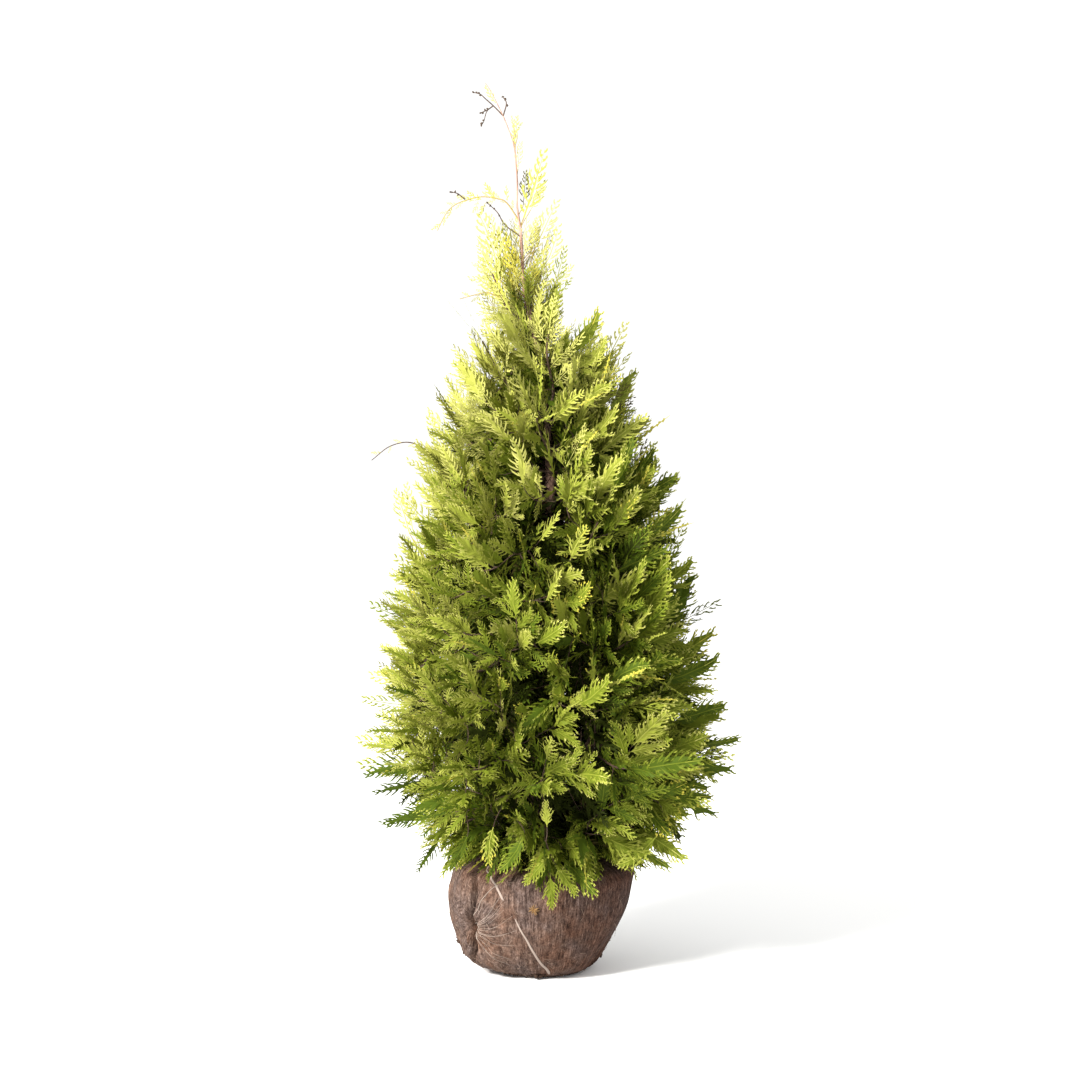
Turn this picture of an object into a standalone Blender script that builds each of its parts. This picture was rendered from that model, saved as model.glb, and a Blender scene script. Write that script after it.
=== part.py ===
"""Root-balled golden Lawson cypress, as sold by a nursery: a young conifer on its root ball.

The ball is wrapped in hessian and stands on its flat underside. One trunk runs from the top of
the ball to the leaning tip of the leader. Boughs leave it in tiers, each carrying one mass of
foliage, and the small masses round the leader sit against the trunk itself.

Metres, +Z up. The origin is the middle of the flat underside of the ball. +X is to the right of
the plant as it is seen from the front, and the front faces -Y.
"""

import math

import bmesh
import bpy
from mathutils import Vector, noise

# Driving dimensions, in metres
PLANT_HEIGHT = 1.71
BALL_HEIGHT = 0.235
BALL_RADIUS = 0.176
BALL_FOOT_RADIUS = 0.080
BALL_TOP_RADIUS = 0.045
BALL_WIDEST_AT = 0.190
BALL_LEAN = 0.015
CROWN_FOOT = 0.155
CROWN_WIDEST_AT = 0.410
CROWN_RADIUS = 0.372
LEADER_BARE = 0.05
TRUNK_FOOT_RADIUS = 0.0150
TRUNK_TIP_RADIUS = 0.0012
TRUNK_TAPER = 1.15
ROOT_FLARE = 0.009
BOUGH_RADIUS = 0.0062
SEAT_GAP = 0.0004

# The ball's surface: shallow lumps, and the dimple where the hessian is gathered at the front left
LUMP_HEIGHT = 0.0035
LUMPS_PER_METRE = 14
GATHER = (-0.129, -0.100, 0.102)
DIMPLE_DEPTH = 0.010
DIMPLE_RADIUS = 0.032
SMOOTH_EDGE = 0.020
BALL_SIDES = 32
BALL_LOW_RINGS = 9
BALL_HIGH_RINGS = 6

# The trunk's middle, as (height, offset along X): a slight bow, then a leader that nods left
TRUNK_LINE = (
    (BALL_HEIGHT + SEAT_GAP, 0.004),
    (0.60, 0.010),
    (0.95, 0.016),
    (1.15, 0.004),
    (1.32, -0.036),
    (1.52, -0.050),
    (1.62, -0.062),
    (1.67, -0.082),
    (PLANT_HEIGHT, -0.108),
)

# Tiers of foliage: name, masses in it, lowest and highest foot on the trunk, first azimuth in
# degrees, and whether boughs carry them
TIERS = (
    ("skirt", 6, 0.255, 0.375, 30, True),
    ("lower", 6, 0.375, 0.500, 2, True),
    ("middle", 5, 0.500, 0.660, 18, True),
    ("upper", 4, 0.660, 0.840, 38, True),
    ("shoulder", 4, 0.840, 1.010, 5, True),
    ("neck", 3, 1.010, 1.180, 72, False),
    ("crest", 2, 1.180, 1.320, 20, False),
)

# The two plumes beside the leader: name, azimuth in degrees, foot, slope and reach
PLUMES = (
    ("plume_left", 182, 1.478, 0.06, 0.150),
    ("plume_right", -6, 1.478, 1.70, 0.062),
)
PLUME_HALF_WIDTH = math.radians(50)
PLUME_HALF_HEIGHT = 0.040

# The slope of the foliage: a little downwards at the skirt, and steeper with height
LOWEST_FOOT = 0.285
FOOT_SPAN = 1.10
LEAST_RISE = -0.16
MOST_RISE = 1.75

# How far a mass fills its cell, which keeps neighbours apart, and how square its section is
CELL_FILL = 0.95
SQUARENESS = 0.72
HOLLOW_SHARE = 0.26
TRUNK_SIDE = 0.003
INNER_ROUNDING = 0.25
OUTER_ROUNDING = 0.32
MASS_RAGGEDNESS = 0.20
MASS_RINGS = 8
MASS_SIDES = 12

# How much of a mass its bough reaches into, and how a bough thins along itself and up the plant
BOUGH_ENTRY = 0.16
BOUGH_THINNING = 0.35
BOUGH_DROP = 0.026
BOUGH_STEPS = 6
BOUGH_SIDES = 6
TRUNK_STEPS = 26
TRUNK_SIDES = 12

WOOD = ("bark", (0.235, 0.125, 0.085), 0.85)
HESSIAN = ("hessian", (0.150, 0.095, 0.070), 0.95)
FOLIAGE = ("foliage", (0.330, 0.400, 0.080), 0.60)


def material(name, colour, roughness):
    """A plain finish, made once and shared."""
    found = bpy.data.materials.get(name)
    if found:
        return found
    made = bpy.data.materials.new(name)
    made.use_nodes = True
    shader = made.node_tree.nodes["Principled BSDF"]
    shader.inputs["Base Color"].default_value = (*colour, 1.0)
    shader.inputs["Roughness"].default_value = roughness
    shader.inputs["Metallic"].default_value = 0.0
    return made


def solid_from_rings(name, rings, finish, low_cap=None, high_cap=None):
    """A closed solid skinned over rings of points, each end closed by a fan or by one flat face."""
    mesh = bmesh.new()
    loops = [[mesh.verts.new(point) for point in ring] for ring in rings]
    sides = len(rings[0])
    for lower, upper in zip(loops, loops[1:]):
        for i in range(sides):
            j = (i + 1) % sides
            mesh.faces.new((lower[i], lower[j], upper[j], upper[i]))
    for loop, centre in ((loops[0], low_cap), (loops[-1], high_cap)):
        if centre is None:
            mesh.faces.new(loop)
            continue
        peak = mesh.verts.new(centre)
        for i in range(sides):
            mesh.faces.new((loop[i], loop[(i + 1) % sides], peak))
    bmesh.ops.recalc_face_normals(mesh, faces=mesh.faces)
    data = bpy.data.meshes.new(name)
    mesh.to_mesh(data)
    mesh.free()
    data.shade_smooth()
    data.set_sharp_from_angle(angle=math.radians(50))
    made = bpy.data.objects.new(name, data)
    made.data.materials.append(material(*finish))
    bpy.context.scene.collection.objects.link(made)
    return made


def limb(name, centres, radii, sides, finish, flare=0.0):
    """A tapering limb through these centres, with flat ends and lobed roots where flare is set."""
    chord = (centres[-1] - centres[0]).normalized()
    reference = Vector((0, 1, 0)) if abs(chord.z) > 0.8 else Vector((0, 0, 1))
    rings = []
    for i, centre in enumerate(centres):
        before = centres[max(i - 1, 0)]
        after = centres[min(i + 1, len(centres) - 1)]
        along = Vector((0, 0, 1)) if i == 0 and flare else (after - before).normalized()
        across = along.cross(reference).normalized()
        up = along.cross(across)
        ring = []
        for k in range(sides):
            angle = math.tau * k / sides
            lobes = flare * math.exp(-9 * i / len(centres)) * (1 + 0.6 * math.cos(3 * angle + 1))
            radius = radii[i] + lobes
            ring.append(centre + radius * (math.cos(angle) * across + math.sin(angle) * up))
        rings.append(ring)
    return solid_from_rings(name, rings, finish)


def smoothstep(low, high, value):
    share = min(1.0, max(0.0, (value - low) / (high - low)))
    return share * share * (3 - 2 * share)


def trunk_offset(height):
    """Where the trunk's middle lies along X at this height."""
    if height <= TRUNK_LINE[0][0]:
        return TRUNK_LINE[0][1]
    for (low, start), (high, end) in zip(TRUNK_LINE, TRUNK_LINE[1:]):
        if height <= high:
            return start + (end - start) * (height - low) / (high - low)
    return TRUNK_LINE[-1][1]


def trunk_radius(height):
    share = (height - BALL_HEIGHT) / (PLANT_HEIGHT - BALL_HEIGHT)
    return TRUNK_TIP_RADIUS + (TRUNK_FOOT_RADIUS - TRUNK_TIP_RADIUS) * (1 - share) ** TRUNK_TAPER


def build_trunk(name="trunk", grow=0.0):
    """The trunk, or with grow a thicker copy of it that cuts its seat in what surrounds it."""
    low = TRUNK_LINE[0][0]
    span = PLANT_HEIGHT - low
    heights = [low + span * (i / TRUNK_STEPS) ** 0.92 for i in range(TRUNK_STEPS + 1)]
    centres = [Vector((trunk_offset(h), 0, h)) for h in heights]
    radii = [trunk_radius(h) + grow for h in heights]
    return limb(name, centres, radii, TRUNK_SIDES, WOOD, flare=ROOT_FLARE)


def ball_radius(height):
    """The ball's mean radius: a rounded bowl from the flat foot, and a low shoulder over it."""
    if height < BALL_WIDEST_AT:
        drop = 1 - height / BALL_WIDEST_AT
        return BALL_FOOT_RADIUS + (BALL_RADIUS - BALL_FOOT_RADIUS) * (1 - drop**2.2) ** 0.68
    climb = (height - BALL_WIDEST_AT) / (BALL_HEIGHT - BALL_WIDEST_AT)
    return BALL_TOP_RADIUS + (BALL_RADIUS - BALL_TOP_RADIUS) * (1 - climb**2.4) ** 0.75


def build_root_ball():
    """Soil in hessian: a sagging bowl, fuller at the lower left, with a dimple at the gather."""
    low_shares = [(i / BALL_LOW_RINGS) ** 1.5 for i in range(BALL_LOW_RINGS + 1)]
    high_shares = [(i / BALL_HIGH_RINGS) ** 0.6 for i in range(1, BALL_HIGH_RINGS + 1)]
    shoulder = BALL_HEIGHT - BALL_WIDEST_AT
    heights = [BALL_WIDEST_AT * share for share in low_shares]
    heights += [BALL_WIDEST_AT + shoulder * share for share in high_shares]
    rings = []
    for height in heights:
        lean = -BALL_LEAN * math.sin(math.pi * min(1.0, height / BALL_WIDEST_AT)) ** 0.9
        edge = min(1.0, height / SMOOTH_EDGE) * min(1.0, (BALL_HEIGHT - height) / SMOOTH_EDGE)
        ring = []
        for k in range(BALL_SIDES):
            angle = math.tau * k / BALL_SIDES
            way = Vector((math.cos(angle), math.sin(angle), 0))
            point = way * ball_radius(height) + Vector((lean, 0, height))
            lump = LUMP_HEIGHT * noise.noise(point * LUMPS_PER_METRE) * edge
            away = (point - Vector(GATHER)).length / DIMPLE_RADIUS
            ring.append(point + way * (lump - DIMPLE_DEPTH * math.exp(-away**2)))
        rings.append(ring)
    return solid_from_rings("root_ball", rings, HESSIAN)


def crown_reach(height):
    """The crown's mean radius at a height: a tall cone over a skirt that tucks in."""
    if height < CROWN_WIDEST_AT:
        share = (CROWN_WIDEST_AT - height) / (CROWN_WIDEST_AT - CROWN_FOOT)
        return CROWN_RADIUS * max(0.0, 1 - share**2.2)
    share = (height - CROWN_WIDEST_AT) / (PLANT_HEIGHT - LEADER_BARE - CROWN_WIDEST_AT)
    return CROWN_RADIUS * max(0.0, 1 - share**1.35)


def rise(foot):
    """How steeply foliage climbs outwards from this height on the trunk."""
    share = max(0.0, (foot - LOWEST_FOOT) / FOOT_SPAN)
    return LEAST_RISE + (MOST_RISE - LEAST_RISE) * share**1.15


def crown_point(azimuth, foot, distance, slope=None):
    """The point this far out from the trunk, on the climbing surface that starts at the foot."""
    height = foot + (rise(foot) if slope is None else slope) * distance
    return Vector((
        trunk_offset(height) + distance * math.cos(azimuth),
        distance * math.sin(azimuth),
        height,
    ))


def outer_distance(azimuth, foot):
    """How far from the trunk this way meets the crown's outline, by repeated halving."""
    low, high = 0.0, 2 * CROWN_RADIUS
    for _ in range(24):
        middle = (low + high) / 2
        point = crown_point(azimuth, foot, middle)
        axis = trunk_offset(point.z) * smoothstep(1.15, 1.40, point.z)
        inside = math.hypot(point.x - axis, point.y) < crown_reach(point.z)
        low, high = (middle, high) if inside else (low, middle)
    return low


def mass_spread(share):
    """How wide a mass is along its length, from its inner end to its ragged outer tip."""
    widening = min(1.0, (share / INNER_ROUNDING) ** 0.50)
    narrowing = min(1.0, ((1 - share) / OUTER_ROUNDING) ** 0.45)
    return widening * narrowing


def squared(value):
    """A sine or cosine pushed outwards, for a section between an ellipse and a rectangle."""
    return math.copysign(abs(value) ** SQUARENESS, value)


def build_mass(name, azimuth, foot, half_azimuth, half_foot, inner, far, seed, slope=None, grow=0.0):
    """One uneven closed mass of foliage. With grow it is a larger copy that cuts a bough's end."""
    offset = Vector((seed * 3.7, seed * 1.9, seed * 5.3))
    rings = []
    for i in range(1, MASS_RINGS):
        share = i / MASS_RINGS
        spread = mass_spread(share)
        ring = []
        for k in range(MASS_SIDES):
            turn = math.tau * (k + 0.5 * (i % 2)) / MASS_SIDES
            way = Vector((math.cos(turn), math.sin(turn), 2.5 * share))
            ragged = 0.92 + MASS_RAGGEDNESS * noise.noise(way * 1.6 + offset)
            fill = CELL_FILL * spread * min(1.0, ragged)
            side = azimuth + half_azimuth * fill * squared(math.cos(turn))
            height = foot + half_foot * fill * squared(math.sin(turn))
            distance = inner + (far - inner) * share * (1 + 0.07 * noise.noise(way * 2.3 - offset))
            ring.append(crown_point(side, height, distance, slope))
        rings.append(ring)
    low_end = crown_point(azimuth, foot, inner, slope)
    high_end = crown_point(azimuth, foot, far, slope)
    made = solid_from_rings(name, rings, FOLIAGE, low_end, high_end)
    if grow:
        for vertex in made.data.vertices:
            vertex.co += vertex.normal * grow
    return made


def cut_away(target, cutter):
    """Takes the cutter out of the target, and leaves the cutter as a hidden helper."""
    cut = target.modifiers.new("clearance", "BOOLEAN")
    cut.operation = "DIFFERENCE"
    cut.solver = "EXACT"
    cut.object = cutter
    cutter.hide_render = True
    cutter.display_type = "WIRE"


def build_bough(name, azimuth, foot, inner, far, drop, trunk_cutter, mass_cutter):
    """A limb from the trunk's side up to where it enters its mass."""
    end = inner + BOUGH_ENTRY * (far - inner)
    thinner = 1 - BOUGH_THINNING * (foot - LOWEST_FOOT) / FOOT_SPAN
    centres, radii = [], []
    for i in range(BOUGH_STEPS + 1):
        share = i / BOUGH_STEPS
        point = crown_point(azimuth, foot, end * share)
        centres.append(point - Vector((0, 0, drop * (1 - share) ** 2)))
        radii.append(BOUGH_RADIUS * (1 - BOUGH_THINNING * share) * thinner)
    made = limb(name, centres, radii, BOUGH_SIDES, WOOD)
    cut_away(made, trunk_cutter)
    cut_away(made, mass_cutter)
    return made


def build_tier(number, name, count, low, high, first_azimuth, has_boughs, trunk_cutter):
    """A ring of masses round the trunk, each on its own bough or against the trunk."""
    half_azimuth = math.pi / count
    half_foot = (high - low) / 2
    foot = (low + high) / 2
    for i in range(count):
        azimuth = math.radians(first_azimuth) + math.tau * i / count
        far = outer_distance(azimuth, foot)
        inner = HOLLOW_SHARE * far if has_boughs else TRUNK_SIDE
        cell = (azimuth, foot, half_azimuth, half_foot, inner, far, 10 * number + i)
        mass = build_mass(f"foliage_{name}_{i + 1}", *cell)
        if not has_boughs:
            cut_away(mass, trunk_cutter)
            continue
        mass_cutter = build_mass(f"clearance_{name}_{i + 1}", *cell, grow=SEAT_GAP)
        drop = BOUGH_DROP * (1 + 0.85 * (i % 2) + 0.40 * (i % 3))
        bough = f"bough_{name}_{i + 1}"
        build_bough(bough, azimuth, foot, inner, far, drop, trunk_cutter, mass_cutter)


def build_plumes(trunk_cutter):
    """The open plumes that stand out left and right of the leader, against the trunk."""
    for number, (name, azimuth, foot, slope, reach) in enumerate(PLUMES):
        half_size = (PLUME_HALF_WIDTH, PLUME_HALF_HEIGHT)
        cell = (math.radians(azimuth), foot, *half_size, TRUNK_SIDE, reach, 90 + number)
        mass = build_mass(f"foliage_{name}", *cell, slope=slope)
        cut_away(mass, trunk_cutter)


def main():
    for old in list(bpy.data.objects):
        bpy.data.objects.remove(old)
    build_root_ball()
    build_trunk()
    trunk_cutter = build_trunk("trunk_clearance", grow=SEAT_GAP)
    for number, tier in enumerate(TIERS):
        build_tier(number, *tier, trunk_cutter)
    build_plumes(trunk_cutter)


main()
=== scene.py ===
"""The looks of a root-balled golden Lawson cypress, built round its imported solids.

Each mass of foliage is replaced by twigs and flat toothed sprays that grow on from the boughs
and the trunk by a seeded rule. The trunk and boughs are replaced by bark with relief, and the
ball by hessian with its folds, tape and string.

Metres, +Z up, the front faces -Y. Sprays are drawn flat, one unit long, and set in place at
their real length. Their colours are plain and dealt out by spray, so each colour is a piece.
"""

import math

import bpy
import numpy as np
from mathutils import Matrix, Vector, noise
from mathutils.bvhtree import BVHTree


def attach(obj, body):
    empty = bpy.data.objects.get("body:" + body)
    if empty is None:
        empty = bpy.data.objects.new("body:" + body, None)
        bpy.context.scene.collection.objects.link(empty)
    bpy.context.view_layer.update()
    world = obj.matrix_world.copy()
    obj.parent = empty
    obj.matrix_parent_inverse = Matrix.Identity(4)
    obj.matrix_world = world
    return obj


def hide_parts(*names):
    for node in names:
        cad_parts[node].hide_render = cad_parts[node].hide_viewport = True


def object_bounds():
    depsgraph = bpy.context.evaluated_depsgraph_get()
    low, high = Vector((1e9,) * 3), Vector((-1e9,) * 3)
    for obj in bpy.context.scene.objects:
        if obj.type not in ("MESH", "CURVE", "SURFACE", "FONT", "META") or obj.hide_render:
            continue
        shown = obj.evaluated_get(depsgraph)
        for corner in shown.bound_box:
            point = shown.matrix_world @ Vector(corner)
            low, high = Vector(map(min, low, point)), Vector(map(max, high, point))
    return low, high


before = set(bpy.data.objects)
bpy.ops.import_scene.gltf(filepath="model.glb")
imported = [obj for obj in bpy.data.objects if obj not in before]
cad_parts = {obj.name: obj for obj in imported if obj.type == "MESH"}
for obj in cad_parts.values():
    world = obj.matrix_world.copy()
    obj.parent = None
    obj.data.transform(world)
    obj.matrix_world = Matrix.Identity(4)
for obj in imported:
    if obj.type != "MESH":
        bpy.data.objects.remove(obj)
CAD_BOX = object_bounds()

SEED = 20817
UP = np.array([0.0, 0.0, 1.0])

# Colours of the sprays, linear
LEAF_COLOURS = {
    "deep": (0.018, 0.024, 0.003),
    "green": (0.043, 0.066, 0.005),
    "mid": (0.090, 0.114, 0.009),
    "lime": (0.156, 0.177, 0.021),
    "bright": (0.242, 0.252, 0.045),
    "pale": (0.330, 0.325, 0.085),
    "gold": (0.370, 0.325, 0.045),
    "straw": (0.370, 0.350, 0.095),
    # Painted shade: a dark brownish olive for sprays in the shaded right back and the inside of the
    # crown
    "olive": (0.050, 0.043, 0.012),
}
LADDER = ("pale", "bright", "lime", "mid", "green", "deep")
LEAF_ROUGHNESS = 0.60
LEAF_SPECULAR = 0.05
PIECE_LIMIT = 190000

# How the foliage grows
REACH_STEP = 0.020
REACH_TURNS = 72
RISE_HEIGHTS = (0.18, 0.30, 0.42, 0.55, 0.75, 0.95, 1.15, 1.30)
RISE_ANGLES = (-30, -8, 8, 24, 40, 50, 58, 64)
CROWN_FOOT = 0.14
CROWN_TOP = 1.345
TARGETS_TRIED = 9000
TARGET_SPACING = (0.0325, 0.043)
LUMPINESS = 0.75
SPRAY_SPACING = 0.0165
LEAFY_LENGTH = 0.110
INNER_SPRAYS = 3000
HANGING_SHOOTS = 60
TOP_SPRAYS = 64
BOX_MARGIN = 0.022

# Radii of the wood at its start and end
BOUGH_RADII = (0.0060, 0.0041)
LIMB_RADII = (0.0040, 0.0016)
TWIG_RADII = (0.0013, 0.0007)
SHORT_TWIG_RADII = (0.0012, 0.0008)
OUTLINE_RADII = (0.0016, 0.0009)
INNER_RADII = (0.0010, 0.0008)
STALK_RADII = (0.0010, 0.0007)
BUD_TWIG_RADII = (0.0013, 0.0008)
ARCH_RADII = (0.0014, 0.0007)

# The bark's rings, sides and relief, and the buds' half length, radius and distance from the twig
TRUNK_RINGS, TRUNK_SIDES, TRUNK_RELIEF = 220, 24, 0.16
BOUGH_RINGS, BOUGH_SIDES, BOUGH_RELIEF = 26, 10, 0.18
BUD_HALF_LENGTH, BUD_RADIUS, BUD_OFFSET = 0.0034, 0.0021, 0.0022

# The ball: the height of its middle, and its surface's rows and turns
BALL_MIDDLE = 0.115
BALL_ROWS, BALL_TURNS = 150, 360
FIBRES = 420
FRAYED_ENDS = 44
THREADS = 20
# Where the hessian is gathered
GATHER = np.array([-0.130, -0.110, 0.109])
# Swellings: azimuth and width in degrees, height, how tall, and how far out
SWELLINGS = (
    (-168, 30, 0.105, 0.060, 0.002),
    (-158, 38, 0.040, 0.032, 0.016),
    (-8, 42, 0.125, 0.050, 0.011),
)
# Lines on the hessian: azimuth in degrees and height
TAPE_UPPER = ((-150, 0.226), (-133, 0.213), (-123, 0.199), (-119, 0.184), (-114, 0.166))
TAPE_LOWER = (
    (-108, 0.137), (-105, 0.119), (-101, 0.096), (-97, 0.068),
    (-92, 0.041), (-85, 0.022), (-81, 0.008),
)
STRING = (
    (-141, 0.110), (-139, 0.121), (-133, 0.143), (-130, 0.162),
    (-126, 0.178), (-122, 0.190), (-119, 0.194),
)
# The hessian laps over itself along this line, from near the foot through the gather to the top
LAP = (
    (-150, 0.032), (-142, 0.062), (-140, 0.087), (-141, 0.109),
    (-138, 0.135), (-137, 0.156), (-137, 0.194), (-148, 0.225),
)
# Crumbs of earth: how many, then the ranges of azimuth, height and size
CRUMB_GROUPS = (
    (12, (-190, -165), (0.015, 0.070), (0.0015, 0.0040)),
    (22, (-50, 165), (0.010, 0.060), (0.0012, 0.0030)),
    (14, (-160, -60), (0.004, 0.012), (0.0015, 0.0035)),
)
SINGLE_CRUMBS = ((-97, 0.009, 0.0070), (-92, 0.008, 0.0085), (-12, 0.030, 0.0045))

# Colours of the wood and the ball, linear
BARK_COLOURS = ((0.150, 0.080, 0.055), (0.50, 0.30, 0.215))
TWIG_COLOURS = ((0.030, 0.016, 0.008), (0.085, 0.045, 0.025))
YOUNG_COLOUR = (0.27, 0.20, 0.065)
BUD_COLOUR = (0.045, 0.028, 0.016)
TAPE_COLOUR = (0.235, 0.185, 0.155)
STRING_COLOUR = (0.21, 0.165, 0.135)
FIBRE_COLOUR = (0.22, 0.155, 0.115)
TUFT_COLOUR = (0.26, 0.150, 0.060)
THREAD_COLOUR = (0.30, 0.24, 0.20)
EARTH_COLOUR = (0.040, 0.025, 0.018)
HESSIAN_TONES = (
    (0.38, (0.020, 0.012, 0.009)),
    (0.48, (0.068, 0.044, 0.034)),
    (0.56, (0.125, 0.086, 0.068)),
    (0.68, (0.270, 0.205, 0.170)),
)
HESSIAN_STAINS = (
    (0.36, (0.84, 0.86, 0.92)),
    (0.50, (0.95, 0.88, 0.84)),
    (0.64, (1.00, 0.80, 0.68)),
)
# Painted shade: the cloth is darker to the right, between these two values of x
PAINTED_SHADE_REACH = (-0.09, 0.15)
PAINTED_SHADE_TINT = (0.60, 0.53, 0.53, 1)

# Camera and light
CAMERA_PLACE = (-0.004, -4.983, 1.25)
CAMERA_AIM = (-0.004, 0.0, 0.838)
CAMERA_LENS = 86.4
CAMERA_SENSOR = 36.0
SKY_COLOUR = (1.0, 1.0, 0.99, 1.0)
SKY_STRENGTH = 1.10
KEY_PLACE = (-3.1, -3.2, 3.0)
KEY_AIM = (0, 0, 0.75)
KEY_SIZE = 1.2
KEY_POWER = 760
KEY_COLOUR = (1.0, 0.98, 0.94)

# The crown's outline in the photo: height, then how far it reaches to the left and to the right
PROFILE = (
    (0.16, 0.15, 0.16),
    (0.22, 0.20, 0.22),
    (0.26, 0.23, 0.27),
    (0.30, 0.25, 0.30),
    (0.41, 0.325, 0.365),
    (0.49, 0.340, 0.350),
    (0.64, 0.335, 0.320),
    (0.72, 0.330, 0.300),
    (0.80, 0.300, 0.300),
    (0.94, 0.265, 0.270),
    (1.02, 0.235, 0.225),
    (1.09, 0.200, 0.175),
    (1.17, 0.170, 0.170),
    (1.24, 0.118, 0.145),
    (1.31, 0.070, 0.068),
    (1.36, 0.042, 0.042),
)

# Shoots that stand out of the outline: x and z of the tip, the rise in degrees, the length
OUTLINE_SHOOTS = (
    (-0.367, 0.448, 12, 0.13),
    (-0.365, 0.393, 2, 0.14),
    (-0.350, 0.378, -6, 0.13),
    (-0.333, 0.343, -12, 0.14),
    (-0.312, 0.278, -20, 0.12),
    (-0.352, 0.535, 8, 0.10),
    (-0.244, 0.186, -58, 0.09),
    (-0.341, 0.574, 15, 0.12),
    (-0.336, 0.714, 25, 0.12),
    (-0.288, 0.807, 35, 0.11),
    (-0.274, 0.931, 50, 0.11),
    (-0.246, 1.031, 45, 0.10),
    (-0.188, 1.112, 50, 0.10),
    (-0.165, 1.181, 45, 0.10),
    (-0.121, 1.257, 50, 0.09),
    (-0.319, 0.287, -8, 0.12),
    (-0.238, 0.256, -40, 0.10),
    (0.375, 0.393, -8, 0.14),
    (0.345, 0.300, -25, 0.13),
    (0.353, 0.497, 15, 0.14),
    (0.325, 0.615, 15, 0.12),
    (0.295, 0.780, 62, 0.13),
    (0.277, 0.877, 58, 0.11),
    (0.217, 1.031, 60, 0.12),
    (0.173, 1.092, 45, 0.10),
    (0.172, 1.204, 50, 0.11),
    (0.165, 1.261, 62, 0.12),
    (0.111, 1.257, 70, 0.10),
    (0.273, 0.248, -40, 0.11),
)

# The sprays round the leader: x and z of the base and of the tip, and the step of their colour
PLUME_SPRAYS = (
    (-0.035, 1.455, 0.007, 1.590, 2),
    (-0.032, 1.465, -0.007, 1.550, 1),
    (-0.022, 1.470, 0.004, 1.520, 1),
    (-0.036, 1.480, -0.031, 1.548, 9),
    (-0.012, 1.400, 0.031, 1.492, 1),
    (-0.018, 1.400, -0.007, 1.460, 1),
    (-0.004, 1.350, 0.032, 1.445, 1),
    (-0.021, 1.335, -0.004, 1.380, 2),
    (0.024, 1.325, 0.046, 1.406, 3),
    (0.027, 1.320, 0.062, 1.368, 2),
    (0.038, 1.315, 0.060, 1.343, 3),
    (-0.018, 1.285, 0.024, 1.370, 2),
    (0.004, 1.280, 0.032, 1.350, 2),
    (-0.057, 1.300, -0.046, 1.370, 1),
    (-0.063, 1.285, -0.068, 1.350, 2),
    (-0.057, 1.305, -0.086, 1.440, 2),
    (-0.069, 1.290, -0.113, 1.413, 1),
    (-0.078, 1.310, -0.106, 1.430, 2),
    (-0.082, 1.340, -0.126, 1.474, 1),
    (-0.080, 1.385, -0.099, 1.462, 1),
    (-0.100, 1.300, -0.124, 1.380, 1),
    (-0.046, 1.320, -0.068, 1.420, 0),
    (-0.049, 1.335, -0.057, 1.402, 1),
    (-0.088, 1.492, -0.110, 1.524, 0),
    (-0.066, 1.488, -0.068, 1.518, 0),
    (-0.094, 1.490, -0.102, 1.516, 1),
    (-0.116, 1.490, -0.144, 1.506, 0),
    (-0.130, 1.488, -0.166, 1.497, 1),
    (-0.108, 1.484, -0.122, 1.458, 1),
    (-0.122, 1.487, -0.134, 1.464, 1),
    (-0.088, 1.672, -0.109, 1.706, 1),
    (-0.051, 1.595, -0.054, 1.632, 1),
    (-0.053, 1.626, -0.058, 1.650, 1),
    (-0.047, 1.612, -0.046, 1.650, 1),
    (-0.046, 1.623, -0.036, 1.636, 2),
    (-0.046, 1.548, -0.038, 1.602, 1),
    (0.122, 1.075, 0.178, 1.116, 9),
    (0.115, 1.096, 0.170, 1.138, 9),
    (0.128, 1.060, 0.180, 1.086, 9),
    (0.108, 1.112, 0.150, 1.156, 9),
    (0.135, 1.085, 0.176, 1.102, 9),
    (-0.178, 0.955, -0.215, 1.035, 2),
    (-0.190, 0.950, -0.240, 1.022, 2),
    (-0.170, 0.965, -0.195, 1.042, 2),
    (-0.195, 0.940, -0.262, 0.995, 2),
    (-0.256, 0.850, -0.285, 0.938, 2),
    (-0.250, 0.860, -0.262, 0.952, 1),
)

PLUME_COLOURS = {
    0: ("bright", "gold", "straw"),
    1: ("bright", "straw", "straw"),
    2: ("lime", "bright", "straw"),
    3: ("mid", "lime", "bright"),
    # Step 9 is painted shade, for the shaded cluster at the right
    9: ("olive", "olive", "olive"),
}

# The leader's line above this first height: x and z
LEADER = (
    (-0.036, 1.320), (-0.039, 1.400), (-0.042, 1.440), (-0.048, 1.476), (-0.047, 1.520),
    (-0.049, 1.550), (-0.052, 1.587), (-0.059, 1.610), (-0.074, 1.648), (-0.089, 1.678),
    (-0.099, 1.697), (-0.108, 1.710),
)

# Brown twigs with buds, and thin arching shoots with tufts: the x and z of the points they pass
BUD_TWIGS = (
    ((-0.074, 1.648), (-0.093, 1.667), (-0.109, 1.681), (-0.117, 1.688), (-0.131, 1.692)),
    ((-0.074, 1.648), (-0.068, 1.672), (-0.075, 1.685)),
    ((-0.093, 1.667), (-0.104, 1.659), (-0.117, 1.653)),
    ((-0.102, 1.661), (-0.107, 1.653), (-0.111, 1.639), (-0.116, 1.631)),
    ((-0.147, 1.490), (-0.161, 1.501), (-0.175, 1.504)),
    ((-0.042, 1.420), (-0.071, 1.442), (-0.085, 1.465), (-0.105, 1.484)),
)
ARCHES = (
    ((-0.044, 1.450), (-0.068, 1.484), (-0.088, 1.492), (-0.116, 1.495), (-0.150, 1.487),
     (-0.172, 1.476), (-0.186, 1.459), (-0.200, 1.431)),
    ((-0.060, 1.290), (-0.097, 1.311), (-0.119, 1.311), (-0.158, 1.301)),
    ((-0.036, 1.320), (-0.018, 1.384), (-0.010, 1.406)),
    ((-0.190, 0.985), (-0.245, 1.024), (-0.290, 1.020), (-0.328, 0.992)),
)

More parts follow.
